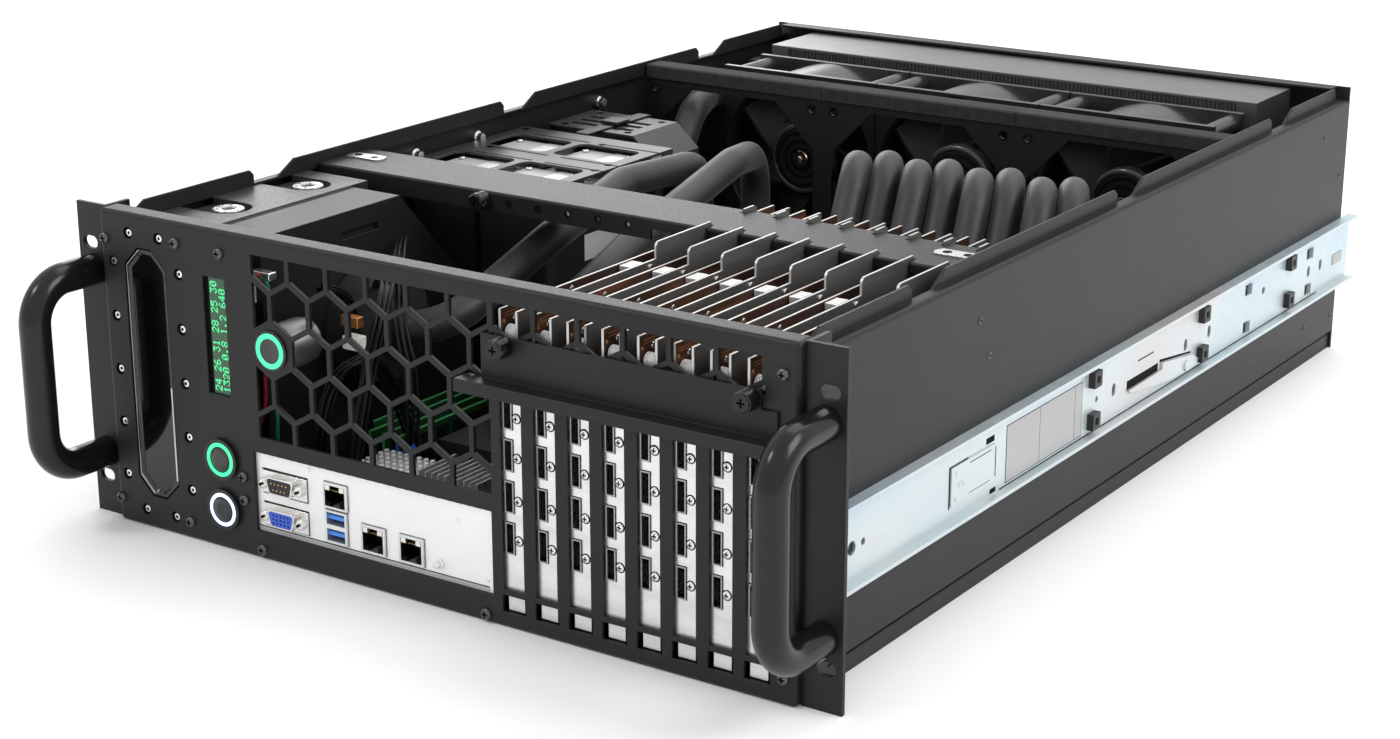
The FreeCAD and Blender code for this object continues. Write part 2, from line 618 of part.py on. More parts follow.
def make_ears():
    """Rack ears: front plate with two slots, and a flange along the case's side."""
    y = ("ear_set", "ear_set + ear_t")
    plate = box("ear_plate", (HALF, "ear_w / 2"), y, ("0", "case_h"))
    flange = box(
        "ear_side", (HALF, f"{HALF} + ear_t"), ("ear_set", "ear_set + ear_flange"), ("0", "case_h")
    )
    slots = []
    for end, z in (("low", "case_h / 2 - rack_z / 2"), ("high", "case_h / 2 + rack_z / 2")):
        through = ("ear_set - ear_t", "ear_set + ear_t * 2")
        straight = "rack_slot_l - rack_slot_w"
        slots.append(box(f"slot_{end}", about("rack_x / 2", straight), through, about(z, "rack_slot_w")))
        for side, sign in (("in", "-"), ("out", "+")):
            x = f"rack_x / 2 {sign} ({straight}) / 2"
            slots.append(rod(f"slot_{end}_{side}", "y", x, through, z, "rack_slot_w / 2"))
    nodes["right_ear"] = cut("right_ear", fuse("ear_fold", [plate, flange]), slots)
    nodes["left_ear"] = mirror("left_ear", nodes["right_ear"])


def make_handles():
    """Tube handles: a round section swept along a U-shaped path."""
    body = body_of("right_handle")
    path = sketch_on(body, "handle_path", "YZ_Plane", "handle_x")
    grip = value(deep("ear_set - handle_reach"))
    foot = value(deep("ear_set"))
    low, high, bend = value("handle_low"), value("handle_high"), value("handle_bend")
    at = FreeCAD.Vector
    path.addGeometry(Part.LineSegment(at(foot, low, 0), at(grip + bend, low, 0)))
    low_ring = Part.Circle(at(grip + bend, low + bend, 0), at(0, 0, 1), bend)
    path.addGeometry(Part.ArcOfCircle(low_ring, math.pi, 1.5 * math.pi))
    path.addGeometry(Part.LineSegment(at(grip, low + bend, 0), at(grip, high - bend, 0)))
    high_ring = Part.Circle(at(grip + bend, high - bend, 0), at(0, 0, 1), bend)
    path.addGeometry(Part.ArcOfCircle(high_ring, 0.5 * math.pi, math.pi))
    path.addGeometry(Part.LineSegment(at(grip + bend, high, 0), at(foot, high, 0)))
    for first, end, second, start in ((0, 2, 1, 2), (1, 1, 2, 1), (2, 2, 3, 2), (3, 1, 4, 1)):
        path.addConstraint(Sketcher.Constraint("Tangent", first, end, second, start))
    sizes = (
        ("DistanceX", 0, 1, deep("ear_set")), ("DistanceY", 0, 1, "handle_low"),
        ("DistanceX", 4, 2, deep("ear_set")), ("DistanceY", 4, 2, "handle_high"),
        ("DistanceX", 2, 1, deep("ear_set - handle_reach")),
    )
    for kind, edge, end, formula in sizes:
        index = path.addConstraint(Sketcher.Constraint(kind, -1, 1, edge, end, value(formula)))
        bind(path, f"Constraints[{index}]", formula)
    for arc in (1, 3):
        index = path.addConstraint(Sketcher.Constraint("Radius", arc, bend))
        bind(path, f"Constraints[{index}]", "handle_bend")
    path.addConstraint(Sketcher.Constraint("Horizontal", 0))
    path.addConstraint(Sketcher.Constraint("Horizontal", 4))
    path.addConstraint(Sketcher.Constraint("Vertical", 2))
    ring = sketch_on(body, "handle_ring", "XZ_Plane", f"-({deep('ear_set')})")
    ring.addGeometry(Part.Circle(at(value("handle_x"), low, 0), at(0, 0, 1), value("handle_tube / 2")))
    for kind, formula in (("DistanceX", "handle_x"), ("DistanceY", "handle_low")):
        index = ring.addConstraint(Sketcher.Constraint(kind, -1, 1, 0, 3, value(formula)))
        bind(ring, f"Constraints[{index}]", formula)
    index = ring.addConstraint(Sketcher.Constraint("Radius", 0, value("handle_tube / 2")))
    bind(ring, f"Constraints[{index}]", "handle_tube / 2")
    doc.recompute()
    pipe = body.newObject("PartDesign::AdditivePipe", "handle_tube_sweep")
    pipe.Profile = ring
    pipe.Spine = (path, [f"Edge{i}" for i in range(1, 6)])
    nodes["right_handle"] = body
    nodes["left_handle"] = mirror("left_handle", body)


# Sockets behind the shield: middle across, width, height above the board at the bottom and at the top
D_SUBS = {"serial": ("d_sub_x", "d_sub_w", 18.0, 31.5), "vga": ("d_sub_x", "d_sub_w", 0.0, 13.0)}
JACKS = {
    "lan_a": (55.2, 16.0, 19.0, 33.0),
    "usb": (55.2, 14.6, 0.0, 18.0),
    "lan_b": (80.1, 16.0, 0.0, 15.0),
    "lan_c": (105.5, 16.0, 0.0, 15.0),
}


def socket_box(name, place, y, grow="0"):
    """Box of a socket, from the shield's left edge and the board's top."""
    middle, width, low, high = place
    x = about(f"io_left + {middle}", f"{width} + ({grow}) * 2")
    return box(name, x, y, (f"{BOARD_TOP} + {low} - ({grow})", f"{BOARD_TOP} + {high} + ({grow})"))


def make_io():
    """Shield plate and the sockets that look through it."""
    y = ("face_t", "face_t + io_t")
    plate = box(
        "shield_plate",
        about("io_left + io_w / 2", "io_w + io_rim * 2"),
        y,
        about("io_low + io_h / 2", "io_h + io_rim * 2"),
    )
    through = ("0", "face_t * 2")
    sockets = D_SUBS | JACKS
    holes = [socket_box(f"{name}_hole", place, through, "jack_fit") for name, place in sockets.items()]
    nodes["io_shield"] = cut("io_shield", plate, holes)
    shells = []
    for name, place in D_SUBS.items():
        base = socket_box(f"{name}_flange", place, ("face_t - jack_proud / 2", "fold * 2"))
        middle, width, low, high = place
        left, right = about(f"io_left + {middle}", "nose_w")
        under, over = about(f"{BOARD_TOP} + {(low + high) / 2}", "nose_h")
        nose = body_of(f"{name}_nose")
        trapezoid = [
            (left, over), (right, over), (f"{right} - nose_taper", under), (f"{left} + nose_taper", under),
        ]
        section_pad(nose, f"{name}_nose_pad", trapezoid, ("-jack_proud * 2", "face_t"))
        shells.append(fuse(name, [base, nose]))
    bridge = box(
        "d_sub_frame",
        about("io_left + d_sub_x", "bridge_w"),
        ("fold", "fold * 2"),
        span(BOARD_TOP, "bridge_h"),
    )
    nodes["d_sub_ports"] = fuse("d_sub_ports", shells + [bridge])
    cans = []
    for name, place in JACKS.items():
        can = socket_box(f"{name}_can", place, ("face_t - jack_proud", "fold * 2"))
        middle, width, low, high = place
        mouths = []
        rows = 2 if name == "usb" else 1
        for row in range(rows):
            step = (high - low) / rows
            mouth = about(f"io_left + {middle}", f"{width} - jack_wall * 2")
            height = about(f"{BOARD_TOP} + {low + step * (row + 0.5)}", f"{step} - jack_wall * 2")
            mouths.append(box(f"{name}_mouth_{row}", mouth, ("-face_t", "fold"), height))
        cans.append(cut(name, can, mouths))
    nodes["jack_ports"] = group("jack_ports", cans)


def make_board():
    """Motherboard with card slots, memory, processor block and heatsinks."""
    x = ("board_left", "board_right")
    nodes["motherboard"] = box("motherboard", x, ("board_from", "board_to"), span("board_z", "board_t"))
    slots = []
    for i in CARDS:
        middle = f"{card_x(i)} - card_t / 2"
        shell = box(
            f"slot_shell_{i}",
            about(middle, "slot_w"),
            span("slot_from", "slot_l"),
            span(BOARD_TOP, "slot_h"),
        )
        gap = about(middle, "card_t + slot_groove * 2")
        long = ("slot_from - sheet", "slot_from + slot_l + sheet")
        groove = box(
            f"slot_groove_{i}",
            gap,
            long,
            (f"{BOARD_TOP} + slot_h - card_seat - slot_groove", f"{BOARD_TOP} + slot_h + card_seat"),
        )
        slots.append(cut(f"card_slot_{i}", shell, [groove]))
    nodes["card_slots"] = group("card_slots", slots)
    modules = []
    for bank in ("dimm_left_x", "dimm_right_x"):
        for i in range(4):
            middle = f"{bank} + dimm_pitch * {i}"
            y = span("dimm_from", "dimm_l")
            socket = box(
                f"{bank}_socket_{i}", about(middle, "dimm_socket_w"), y, span(BOARD_TOP, "dimm_socket_h")
            )
            blade = box(
                f"{bank}_blade_{i}",
                about(middle, "dimm_t"),
                y,
                span(f"{BOARD_TOP} + dimm_socket_h / 2", "dimm_h"),
            )
            modules.append(fuse(f"{bank}_module_{i}", [socket, blade]))
    nodes["memory_modules"] = group("memory_modules", modules)
    block = box("cpu_block", about("cpu_x", "cpu_w"), span("cpu_from", "cpu_l"), span(BOARD_TOP, "cpu_h"))
    ports = [
        rod(
            f"cpu_barb_{i}",
            "z",
            f"cpu_x + cpu_w / 4 * {sign}",
            "cpu_from + cpu_l / 2",
            span(f"{BOARD_TOP} + cpu_h", "fitting_l"),
            "fitting_r",
        )
        for i, sign in enumerate((-1, 1))
    ]
    nodes["cpu_water_block"] = fuse("cpu_water_block", [block] + ports)
    sinks = []
    for i in range(2):
        middle = f"sink_x + sink_pitch * {i}"
        base = box(
            f"sink_base_{i}",
            about(middle, "sink_w"),
            span("sink_from", "sink_l"),
            span(BOARD_TOP, "sink_base"),
        )
        fins = [
            box(
                f"sink_fin_{i}_{k}",
                span(f"{middle} - sink_w / 2 + (sink_w - fin_t) / 9 * {k}", "fin_t"),
                span("sink_from", "sink_l"),
                span(f"{BOARD_TOP} + sink_base / 2", "sink_h"),
            )
            for k in range(10)
        ]
        sinks.append(fuse(f"sink_{i}", [base] + fins))
    nodes["board_heatsinks"] = group("board_heatsinks", sinks)


def make_cards():
    """Eight single-slot cards: board, copper water block, steel back plate, bracket and sockets."""
    boards, blocks, backs, brackets, ports, terminals = [], [], [], [], [], []
    plate_y = ("face_t", "face_t + bracket_t")
    port_heights = [f"bracket_top - port_top - port_pitch * {k}" for k in range(4)]
    for i in CARDS:
        x = card_x(i)
        low = f"{BOARD_TOP} + slot_h - card_seat"
        start = "face_t + bracket_t"
        boards.append(
            box(f"card_board_{i}", (f"{x} - card_t", x), (start, "card_end"), (low, "card_top"))
        )
        block = box(
            f"block_{i}", span(x, "block_t"), ("block_from", "block_to"), ("block_low", "block_top")
        )
        stub = rod(
            f"stub_{i}",
            "y",
            f"{x} + block_t / 2",
            ("block_to - fitting_l", "card_end + sheet"),
            "fitting_z",
            "fitting_stub",
        )
        collar = rod(
            f"collar_{i}",
            "y",
            f"{x} + block_t / 2",
            span("card_end + sheet", "fitting_l"),
            "fitting_z",
            "fitting_r",
        )
        blocks.append(fuse(f"water_block_{i}", [block, stub, collar]))
        plate = body_of(f"back_plate_{i}")
        side = [
            (start, "back_low"), (start, "card_top"), ("tab_from", "card_top"),
            ("tab_from", "tab_top"),
            ("bar_from + tab_grip", "tab_top"), ("bar_from + tab_grip", "bar_low - sheet"),
            ("bar_to - tab_grip", "bar_low - sheet"), ("bar_to - tab_grip", "tab_top"),
            ("bar_to + tab_rear", "tab_top"), ("bar_to + tab_rear", "card_top"),
            ("card_end", "card_top"), ("card_end", "back_low"),
        ]
        side_pad(plate, f"back_sheet_{i}", side, span(f"{x} + block_t", "back_t"))
        corners = [running("x", y=deep(p), z="tab_top") for p in ("tab_from", "bar_to + tab_rear")]
        backs.append(bent(f"back_corners_{i}", plate, "tab_round", *corners))
        middle = f"{x} + window_w / 2"
        face = box(
            f"bracket_face_{i}",
            about(middle, "bracket_w"),
            plate_y,
            ("notch_high + sheet", "bracket_top"),
        )
        tongue = box(
            f"bracket_tongue_{i}",
            about(middle, "tongue_w"),
            plate_y,
            ("notch_low + sheet / 2", "bracket_top"),
        )
        foot = box(
            f"bracket_foot_{i}",
            about(middle, "foot_w"),
            ("-foot_reach", "face_t + bracket_t"),
            ("bracket_top - bracket_t", "bracket_top"),
        )
        holes = []
        for k, z in enumerate(port_heights):
            across = f"{x} + port_x"
            holes.append(
                box(
                    f"port_hole_{i}_{k}",
                    about(across, "port_w + port_gap * 2"),
                    ("0", "fold"),
                    about(z, "port_h + port_gap * 2"),
                )
            )
            shell = box(
                f"port_shell_{i}_{k}",
                about(across, "port_w"),
                span("face_t - port_wall", "port_deep"),
                about(z, "port_h"),
            )
            mouth = box(
                f"port_mouth_{i}_{k}",
                about(across, "port_w - port_wall * 2"),
                ("0", "port_deep / 2"),
                about(z, "port_h - port_wall * 2"),
            )
            ports.append(cut(f"port_{i}_{k}", shell, [mouth]))
        brackets.append(cut(f"bracket_{i}", fuse(f"bracket_fold_{i}", [face, tongue, foot]), holes))
        width = (f"{x} + terminal_side", f"{x} + block_t - terminal_side")
        terminals.append(
            box(f"terminal_{i}", width, ("terminal_from", "terminal_to"), span("block_top", "terminal_h"))
        )
    nodes["gpu_boards"] = group("gpu_boards", boards)
    nodes["gpu_water_blocks"] = group("gpu_water_blocks", blocks)
    nodes["gpu_backplates"] = group("gpu_backplates", backs)
    nodes["gpu_brackets"] = group("gpu_brackets", brackets)
    nodes["display_ports"] = group("display_ports", ports)
    nodes["gpu_terminals"] = group("gpu_terminals", terminals)


def thumbscrew(name, x, y, z):
    """Knurled captive screw along Y: drum head in front of y, shank behind it, cross recess in its face."""
    body = body_of(f"{name}_turned")
    back = "knob_l"
    points = [
        ("0", "0"), ("knob_r - recess_d / 2", "0"), ("knob_r", "recess_d / 2"), ("knob_r", back),
        ("shank_r", back),
        ("shank_r", f"{back} + shank_l"), ("0", f"{back} + shank_l"),
    ]
    turned(body, f"{name}_spun", x, f"{y} - knob_l - knob_gap", z, points)
    front = f"{y} - knob_l - knob_gap"
    depth = (f"{front} - recess_d", f"{front} + recess_d")
    cross = [
        box(f"{name}_cross_a", about(x, "recess_l"), depth, about(z, "recess_w")),
        box(f"{name}_cross_b", about(x, "recess_w"), depth, about(z, "recess_l")),
    ]
    nodes[name] = cut(name, body, cross)


def make_clamp():
    """Clamp bar: upright plate against the panel, shelf over the bracket feet and a turned-down lip."""
    shelf = "bracket_top"
    body = body_of("clamp_fold")
    side = [
        ("0", shelf), ("0", "clamp_top"), ("-clamp_t", "clamp_top"), ("-clamp_t", f"{shelf} + clamp_t"),
        ("-clamp_reach", f"{shelf} + clamp_t"), ("-clamp_reach", f"{shelf} - clamp_lip"),
        ("-clamp_reach + clamp_t", f"{shelf} - clamp_lip"), ("-clamp_reach + clamp_t", shelf),
    ]
    side_pad(body, "clamp_sheet", side, ("clamp_shelf_left", "clamp_right"))
    y = ("-clamp_reach / 2", "face_t")
    tools = [
        box(
            "clamp_step",
            ("clamp_shelf_left - sheet", "clamp_left"),
            y,
            (f"{shelf} + clamp_t", "clamp_top + sheet"),
        ),
        box(
            "clamp_corner",
            ("clamp_right - clamp_notch", "clamp_right + sheet"),
            y,
            ("clamp_top - clamp_notch", "clamp_top + sheet"),
        ),
    ]
    for x in ("screw_left_x", "screw_right_x"):
        tools.append(rod(f"{x}_clear", "y", x, y, "clamp_screw_z", "shank_r + shank_fit"))
    edge = running("x", y=deep("-clamp_reach"), z=f"{shelf} + clamp_t")
    nodes["clamp_bar"] = cut("clamp_bar", bent("clamp_bend_edge", body, "clamp_bend", edge), tools)
    thumbscrew("clamp_screw_left", "screw_left_x", "-clamp_t", "clamp_screw_z")
    thumbscrew("clamp_screw_right", "screw_right_x", "-clamp_t", "clamp_screw_z")


def make_crossbar():
    """Crossbar: inverted channel slotted for the card tabs, held by a thumbscrew."""
    body = body_of("crossbar_fold")
    side = [
        ("bar_from", "bar_low"), ("bar_from", "bar_top"), ("bar_to", "bar_top"), ("bar_to", "bar_low"),
        ("bar_to - sheet", "bar_low"), ("bar_to - sheet", "bar_top - sheet"),
        ("bar_from + sheet", "bar_top - sheet"),
        ("bar_from + sheet", "bar_low"),
    ]
    side_pad(body, "crossbar_sheet", side, ("-bar_end", "bar_end"))
    beyond = ("bar_from - sheet", "bar_to + sheet")
    tools = [box(
        "bar_step", ("bar_step_x", "bar_end - bar_seat"), beyond, ("bar_low - sheet", "bar_step_z")
    )]
    for i in CARDS:
        width = about(f"{card_x(i)} + block_t + back_t / 2", "bar_slot_w")
        height = ("bar_low - sheet", "bar_top + sheet")
        tools.append(
            box(
                f"bar_slot_front_{i}",
                width,
                ("bar_from - sheet", "bar_from + tab_grip + tab_round / 2"),
                height,
            )
        )
        tools.append(
            box(
                f"bar_slot_rear_{i}",
                width,
                ("bar_to - tab_grip - tab_round / 2", "bar_to + sheet"),
                height,
            )
        )
    for i in range(5):
        x = f"bar_hole_x + bar_hole_pitch * {i}"
        tools.append(
            rod(
                f"bar_hole_{i}",
                "y",
                x,
                ("bar_from - sheet", "bar_from + sheet * 2"),
                "bar_screw_z",
                "bar_hole_r",
            )
        )
    tools.append(
        rod(
            "bar_screw_clear",
            "y",
            "bar_screw_x",
            ("bar_from - sheet", "bar_from + sheet * 2"),
            "bar_screw_z",
            "shank_r + shank_fit",
        )
    )
    bar = bent("bar_bend_edges", body, "bar_bend", running("x", z="bar_top"))
    nodes["crossbar"] = cut("crossbar", bar, tools)
    thumbscrew("crossbar_screw", "bar_screw_x", "bar_from", "bar_screw_z")


def make_reservoir():
    """Coolant reservoir with clear front plate, fill caps, pump cover and pump."""
    rim_y = ("face_t + pane_t", "tank_from")
    tank = box(
        "tank_block", ("tank_left", "tank_right"), ("tank_from", "tank_to"), ("tank_low", "tank_top")
    )
    rim = box("tank_rim", ("rim_left", "rim_right"), rim_y, ("rim_low", "rim_high"))
    cavity = box(
        "tank_cavity",
        ("glass_left", "glass_right"),
        ("face_t", "tank_from + cavity_d"),
        ("glass_low", "glass_high"),
    )
    tools = [cavity]
    for end in ("cap_front", "cap_rear"):
        dish = ("tank_top - dish_d", "tank_top + dish_d")
        tools.append(rod(f"{end}_dish", "z", "cap_x", end, dish, "dish_r"))
        tools.append(
            box(f"{end}_dish_side", ("tank_left - sheet", "cap_x"), about(end, "dish_r * 2"), dish)
        )
        bore = ("tank_top - dish_d - cap_stem_l - sheet", "tank_top")
        tools.append(rod(f"{end}_bore", "z", "cap_x", end, bore, "cap_stem + cap_fit"))
    nodes["reservoir_body"] = cut("reservoir_body", fuse("tank_and_rim", [tank, rim]), tools)
    pane = box("pane_block", ("rim_left", "rim_right"), span("face_t", "pane_t"), ("rim_low", "rim_high"))
    holes, bolts = [], []
    seat = "face_t + pane_t"
    for i, (x, z) in enumerate(bolt_places()):
        holes.append(rod(f"pane_hole_{i}", "y", x, ("0", "tank_from"), z, "bolt_hole"))
        head = rod(f"bolt_head_{i}", "y", x, (f"{seat} - bolt_l", seat), z, "bolt_r")
        socket = (f"{seat} - bolt_l - bolt_drive", f"{seat} - bolt_l + bolt_drive")
        bolts.append(cut(f"bolt_{i}", head, [hexagon(f"bolt_socket_{i}", x, socket, z, "bolt_drive * 2")]))
    nodes["reservoir_window"] = cut("reservoir_window", pane, holes)
    nodes["reservoir_screws"] = group("reservoir_screws", bolts)
    floor = "tank_top - dish_d"
    for end in ("cap_front", "cap_rear"):
        head = rod(f"{end}_head", "z", "cap_x", end, span(floor, "cap_h"), "cap_r")
        stem = rod(f"{end}_stem", "z", "cap_x", end, (f"{floor} - cap_stem_l", floor), "cap_stem")
        socket = doc.addObject("Part::Prism", f"{end}_socket")
        socket.Polygon = 6
        bind(socket, "Circumradius", "cap_drive")
        bind(socket, "Height", "cap_h * 2")
        bind(socket, "Placement.Base.x", "cap_x")
        bind(socket, "Placement.Base.y", deep(end))
        bind(socket, "Placement.Base.z", f"{floor} - cap_h / 2")
        nodes[f"fill_{end}"] = cut(f"fill_{end}", fuse(f"{end}_turned", [head, stem]), [socket])
    cover = body_of("cover_block")
    side = [
        ("cover_from", "tank_low"), ("cover_from", "tank_top"), ("cover_to", "tank_top"),
        ("cover_foot", "pump_z"), ("cover_foot", "tank_low"),
    ]
    side_pad(cover, "cover_side", side, ("cover_left", "cover_right"))
    recess = rod(
        "cover_recess",
        "x",
        ("cover_right - sheet * 2", "cover_right + sheet"),
        "pump_y",
        "pump_z",
        "pump_r + sheet",
    )
    vent = box(
        "cover_vent",
        ("cover_right - sheet * 2", "cover_right + sheet"),
        about("pump_y", "pump_r"),
        about("tank_top - dish_r", "dish_d"),
    )
    foot = box(
        "cover_foot_pad",
        ("cover_left", "cover_right"),
        ("cover_from", "cover_to"),
        ("sheet", "tank_low + sheet"),
    )
    nodes["pump_cover"] = cut("pump_cover", fuse("cover_whole", [cover, foot]), [recess, vent])
    motor = rod(
        "pump_motor", "x", span("cover_right - sheet * 2", "pump_l"), "pump_y", "pump_z", "pump_r"
    )
    eye = rod(
        "pump_eye",
        "x",
        span("cover_right + pump_l - sheet * 4", "pump_l"),
        "pump_y",
        "pump_z",
        "pump_eye",
    )
    nodes["pump"] = cut("pump", motor, [eye])


def make_controls():
    """Character display, the two buttons with light rings, and the round status light."""
    y = span("face_t", "lcd_d")
    nodes["lcd_display"] = box(
        "lcd_display",
        ("lcd_left - lcd_rim", "lcd_right + lcd_rim"),
        y,
        ("lcd_low - lcd_rim", "lcd_high + lcd_rim"),
    )
    bezels, lenses = [], []
    for key in ("power", "reset"):
        z = f"{key}_z"
        flange = rod(f"{key}_flange", "y", "button_x", ("-bezel_h", "0"), z, "bezel_r")
        barrel = rod(f"{key}_barrel", "y", "button_x", ("-bezel_h", "barrel_l"), z, "barrel_r")
        nut = hexagon(f"{key}_nut", "button_x", span("face_t", "nut_h"), z, "nut_r * 2")
        bore = rod(
            f"{key}_bore", "y", "button_x", ("-bezel_h * 2", "barrel_l - barrel_floor"), z, "lens_in"
        )
        rim = rod(
            f"{key}_lens_seat", "y", "button_x", ("-bezel_h * 2", "-bezel_h + lens_h"), z, "lens_out"
        )
        bezels.append(cut(f"{key}_bezel", fuse(f"{key}_case", [flange, barrel, nut]), [bore, rim]))
        ring = span("-bezel_h", "lens_h")
        lens = rod(f"{key}_lens_disc", "y", "button_x", ring, z, "lens_out")
        eye = rod(f"{key}_lens_eye", "y", "button_x", ("-bezel_h * 2", "bezel_h"), z, "lens_in")
        lenses.append(cut(f"{key}_lens", lens, [eye]))
        stem = ("-bezel_h + plunger_sink", "-bezel_h + plunger_sink + plunger_l")
        nodes[f"{key}_button"] = rod(f"{key}_button", "y", "button_x", stem, z, "plunger_r")
    nodes["button_bezels"] = group("button_bezels", bezels)
    nodes["button_lights"] = group("button_lights", lenses)
    disc = rod("status_disc", "y", "hex_x", ("-status_proud", "0"), "status_z", "status_r")
    stem = rod("status_barrel", "y", "hex_x", ("-status_proud", "status_l"), "status_z", "status_stem")
    nodes["status_light"] = fuse("status_light", [disc, stem])


def make_storage():
    """Storage cage with its drives, and the controller cover behind it."""
    x = ("cage_left", "cage_right")
    y = ("cage_from", "cage_to")
    top = box("cage_plate", x, y, ("cage_top - sheet", "cage_top"))
    legs = []
    for side, low in (("left", "cage_left"), ("right", "cage_right - sheet")):
        for end, start in (("front", "cage_from"), ("rear", "cage_to - cage_leg")):
            legs.append(
                box(
                    f"cage_leg_{side}_{end}",
                    span(low, "sheet"),
                    span(start, "cage_leg"),
                    ("sheet", "cage_top"),
                )
            )
    middle_x = "(cage_left + cage_right) / 2"
    middle_y = "(cage_from + cage_to) / 2"
    windows, drives = [], []
    for i in (-1, 1):
        for j in (-1, 1):
            across = f"{middle_x} + cage_win_x / 2 * {i}"
            along = f"{middle_y} + cage_win_y / 2 * {j}"
            through = ("cage_top - sheet * 2", "cage_top + sheet")
            name = f"{'left' if i < 0 else 'right'}_{'front' if j < 0 else 'rear'}"
            window = box(
                f"cage_window_{name}", about(across, "cage_win_l"), about(along, "cage_win_w"), through
            )
            windows.append(bent(f"cage_window_{name}_round", window, "cage_win_r", running("z")))
            drives.append(
                box(
                    f"drive_{name}",
                    about(across, "drive_w"),
                    about(along, "drive_l - sheet"),
                    ("sheet", "cage_top - sheet - drive_drop"),
                )
            )
    nodes["storage_cage"] = cut("storage_cage", fuse("cage_fold", [top] + legs), windows)
    nodes["storage_drives"] = group("storage_drives", drives)
    hood = body_of("hood_fold")
    right = "hood_right + hood_slope_x"
    under = "hood_top - hood_slope_z"
    section = [
        ("hood_left", "sheet"), ("hood_left", "hood_top"), ("hood_right", "hood_top"), (right, under),
        (right, "sheet"),
        (f"{right} - sheet", "sheet"), (f"{right} - sheet", under),
        ("hood_right - sheet / 2", "hood_top - sheet"),
        ("hood_left + sheet", "hood_top - sheet"), ("hood_left + sheet", "sheet"),
    ]
    section_pad(hood, "hood_sheet", section, ("hood_from", "hood_to"))
    slots = []
    for i in range(2):
        for j in range(3):
            across = span(f"hood_left + cage_leg + (hood_slot_l + hood_slot_w) * {i}", "hood_slot_l")
            along = span(f"hood_from + hood_slot_w * (2 * {j} + 2)", "hood_slot_w")
            slots.append(
                box(f"hood_slot_{i}_{j}", across, along, ("hood_top - sheet * 2", "hood_top + sheet"))
            )
    nodes["controller_cover"] = cut("controller_cover", hood, slots)


def fan_x(i):
    """Middle of a fan."""
    return f"fan_pitch * ({i} - 1)"


def make_fan_wall():
    """Bent wall across the case with three eight-sided openings, standing on two legs."""
    y = span("wall_y", "sheet")
    plate = box("wall_plate", about("0", "wall_side * 2"), y, ("wall_low", "wall_top"))
    flange = box(
        "wall_flange_top",
        about("0", "wall_side * 2"),
        span("wall_y", "wall_flange"),
        ("wall_top - sheet", "wall_top"),
    )
    rail = box(
        "wall_flange_low",
        about("0", "wall_side * 2"),
        span("wall_y", "wall_flange"),
        span("wall_low", "sheet"),
    )
    left = box("wall_leg_left", span("-wall_side", "wall_leg"), y, ("sheet", "wall_low + sheet"))
    right = box("wall_leg_right", ("wall_side - wall_leg", "wall_side"), y, ("sheet", "wall_low + sheet"))
    tools = []
    through = ("wall_y - sheet", "wall_y + sheet * 2")
    for i in range(3):
        body = body_of(f"wall_open_{i}")
        middle = f"wall_pitch * ({i} - 1)"
        half = "wall_open / 2"
        low, high = "wall_low + wall_leg / 2", f"wall_mid_z + {half}"
        points = [
            (f"{middle} - {half}", f"{low} + wall_cut"), (f"{middle} - {half} + wall_cut", low),
            (f"{middle} + {half} - wall_cut", low), (f"{middle} + {half}", f"{low} + wall_cut"),
            (f"{middle} + {half}", f"{high} - wall_cut"), (f"{middle} + {half} - wall_cut", high),
            (f"{middle} - {half} + wall_cut", high), (f"{middle} - {half}", f"{high} - wall_cut"),
        ]
        section_pad(body, f"wall_open_prism_{i}", points, through)
        tools.append(body)
        for side in ("-", "+"):
            x = f"{middle} {side} wall_holes / 2"
            tools.append(
                rod(
                    f"wall_hole_{i}_{'a' if side == '-' else 'b'}",
                    "y",
                    x,
                    through,
                    "wall_mid_z + wall_holes / 2",
                    "wall_hole",
                )
            )
    nodes["fan_wall"] = cut("fan_wall", fuse("wall_fold", [plate, flange, rail, left, right]), tools)


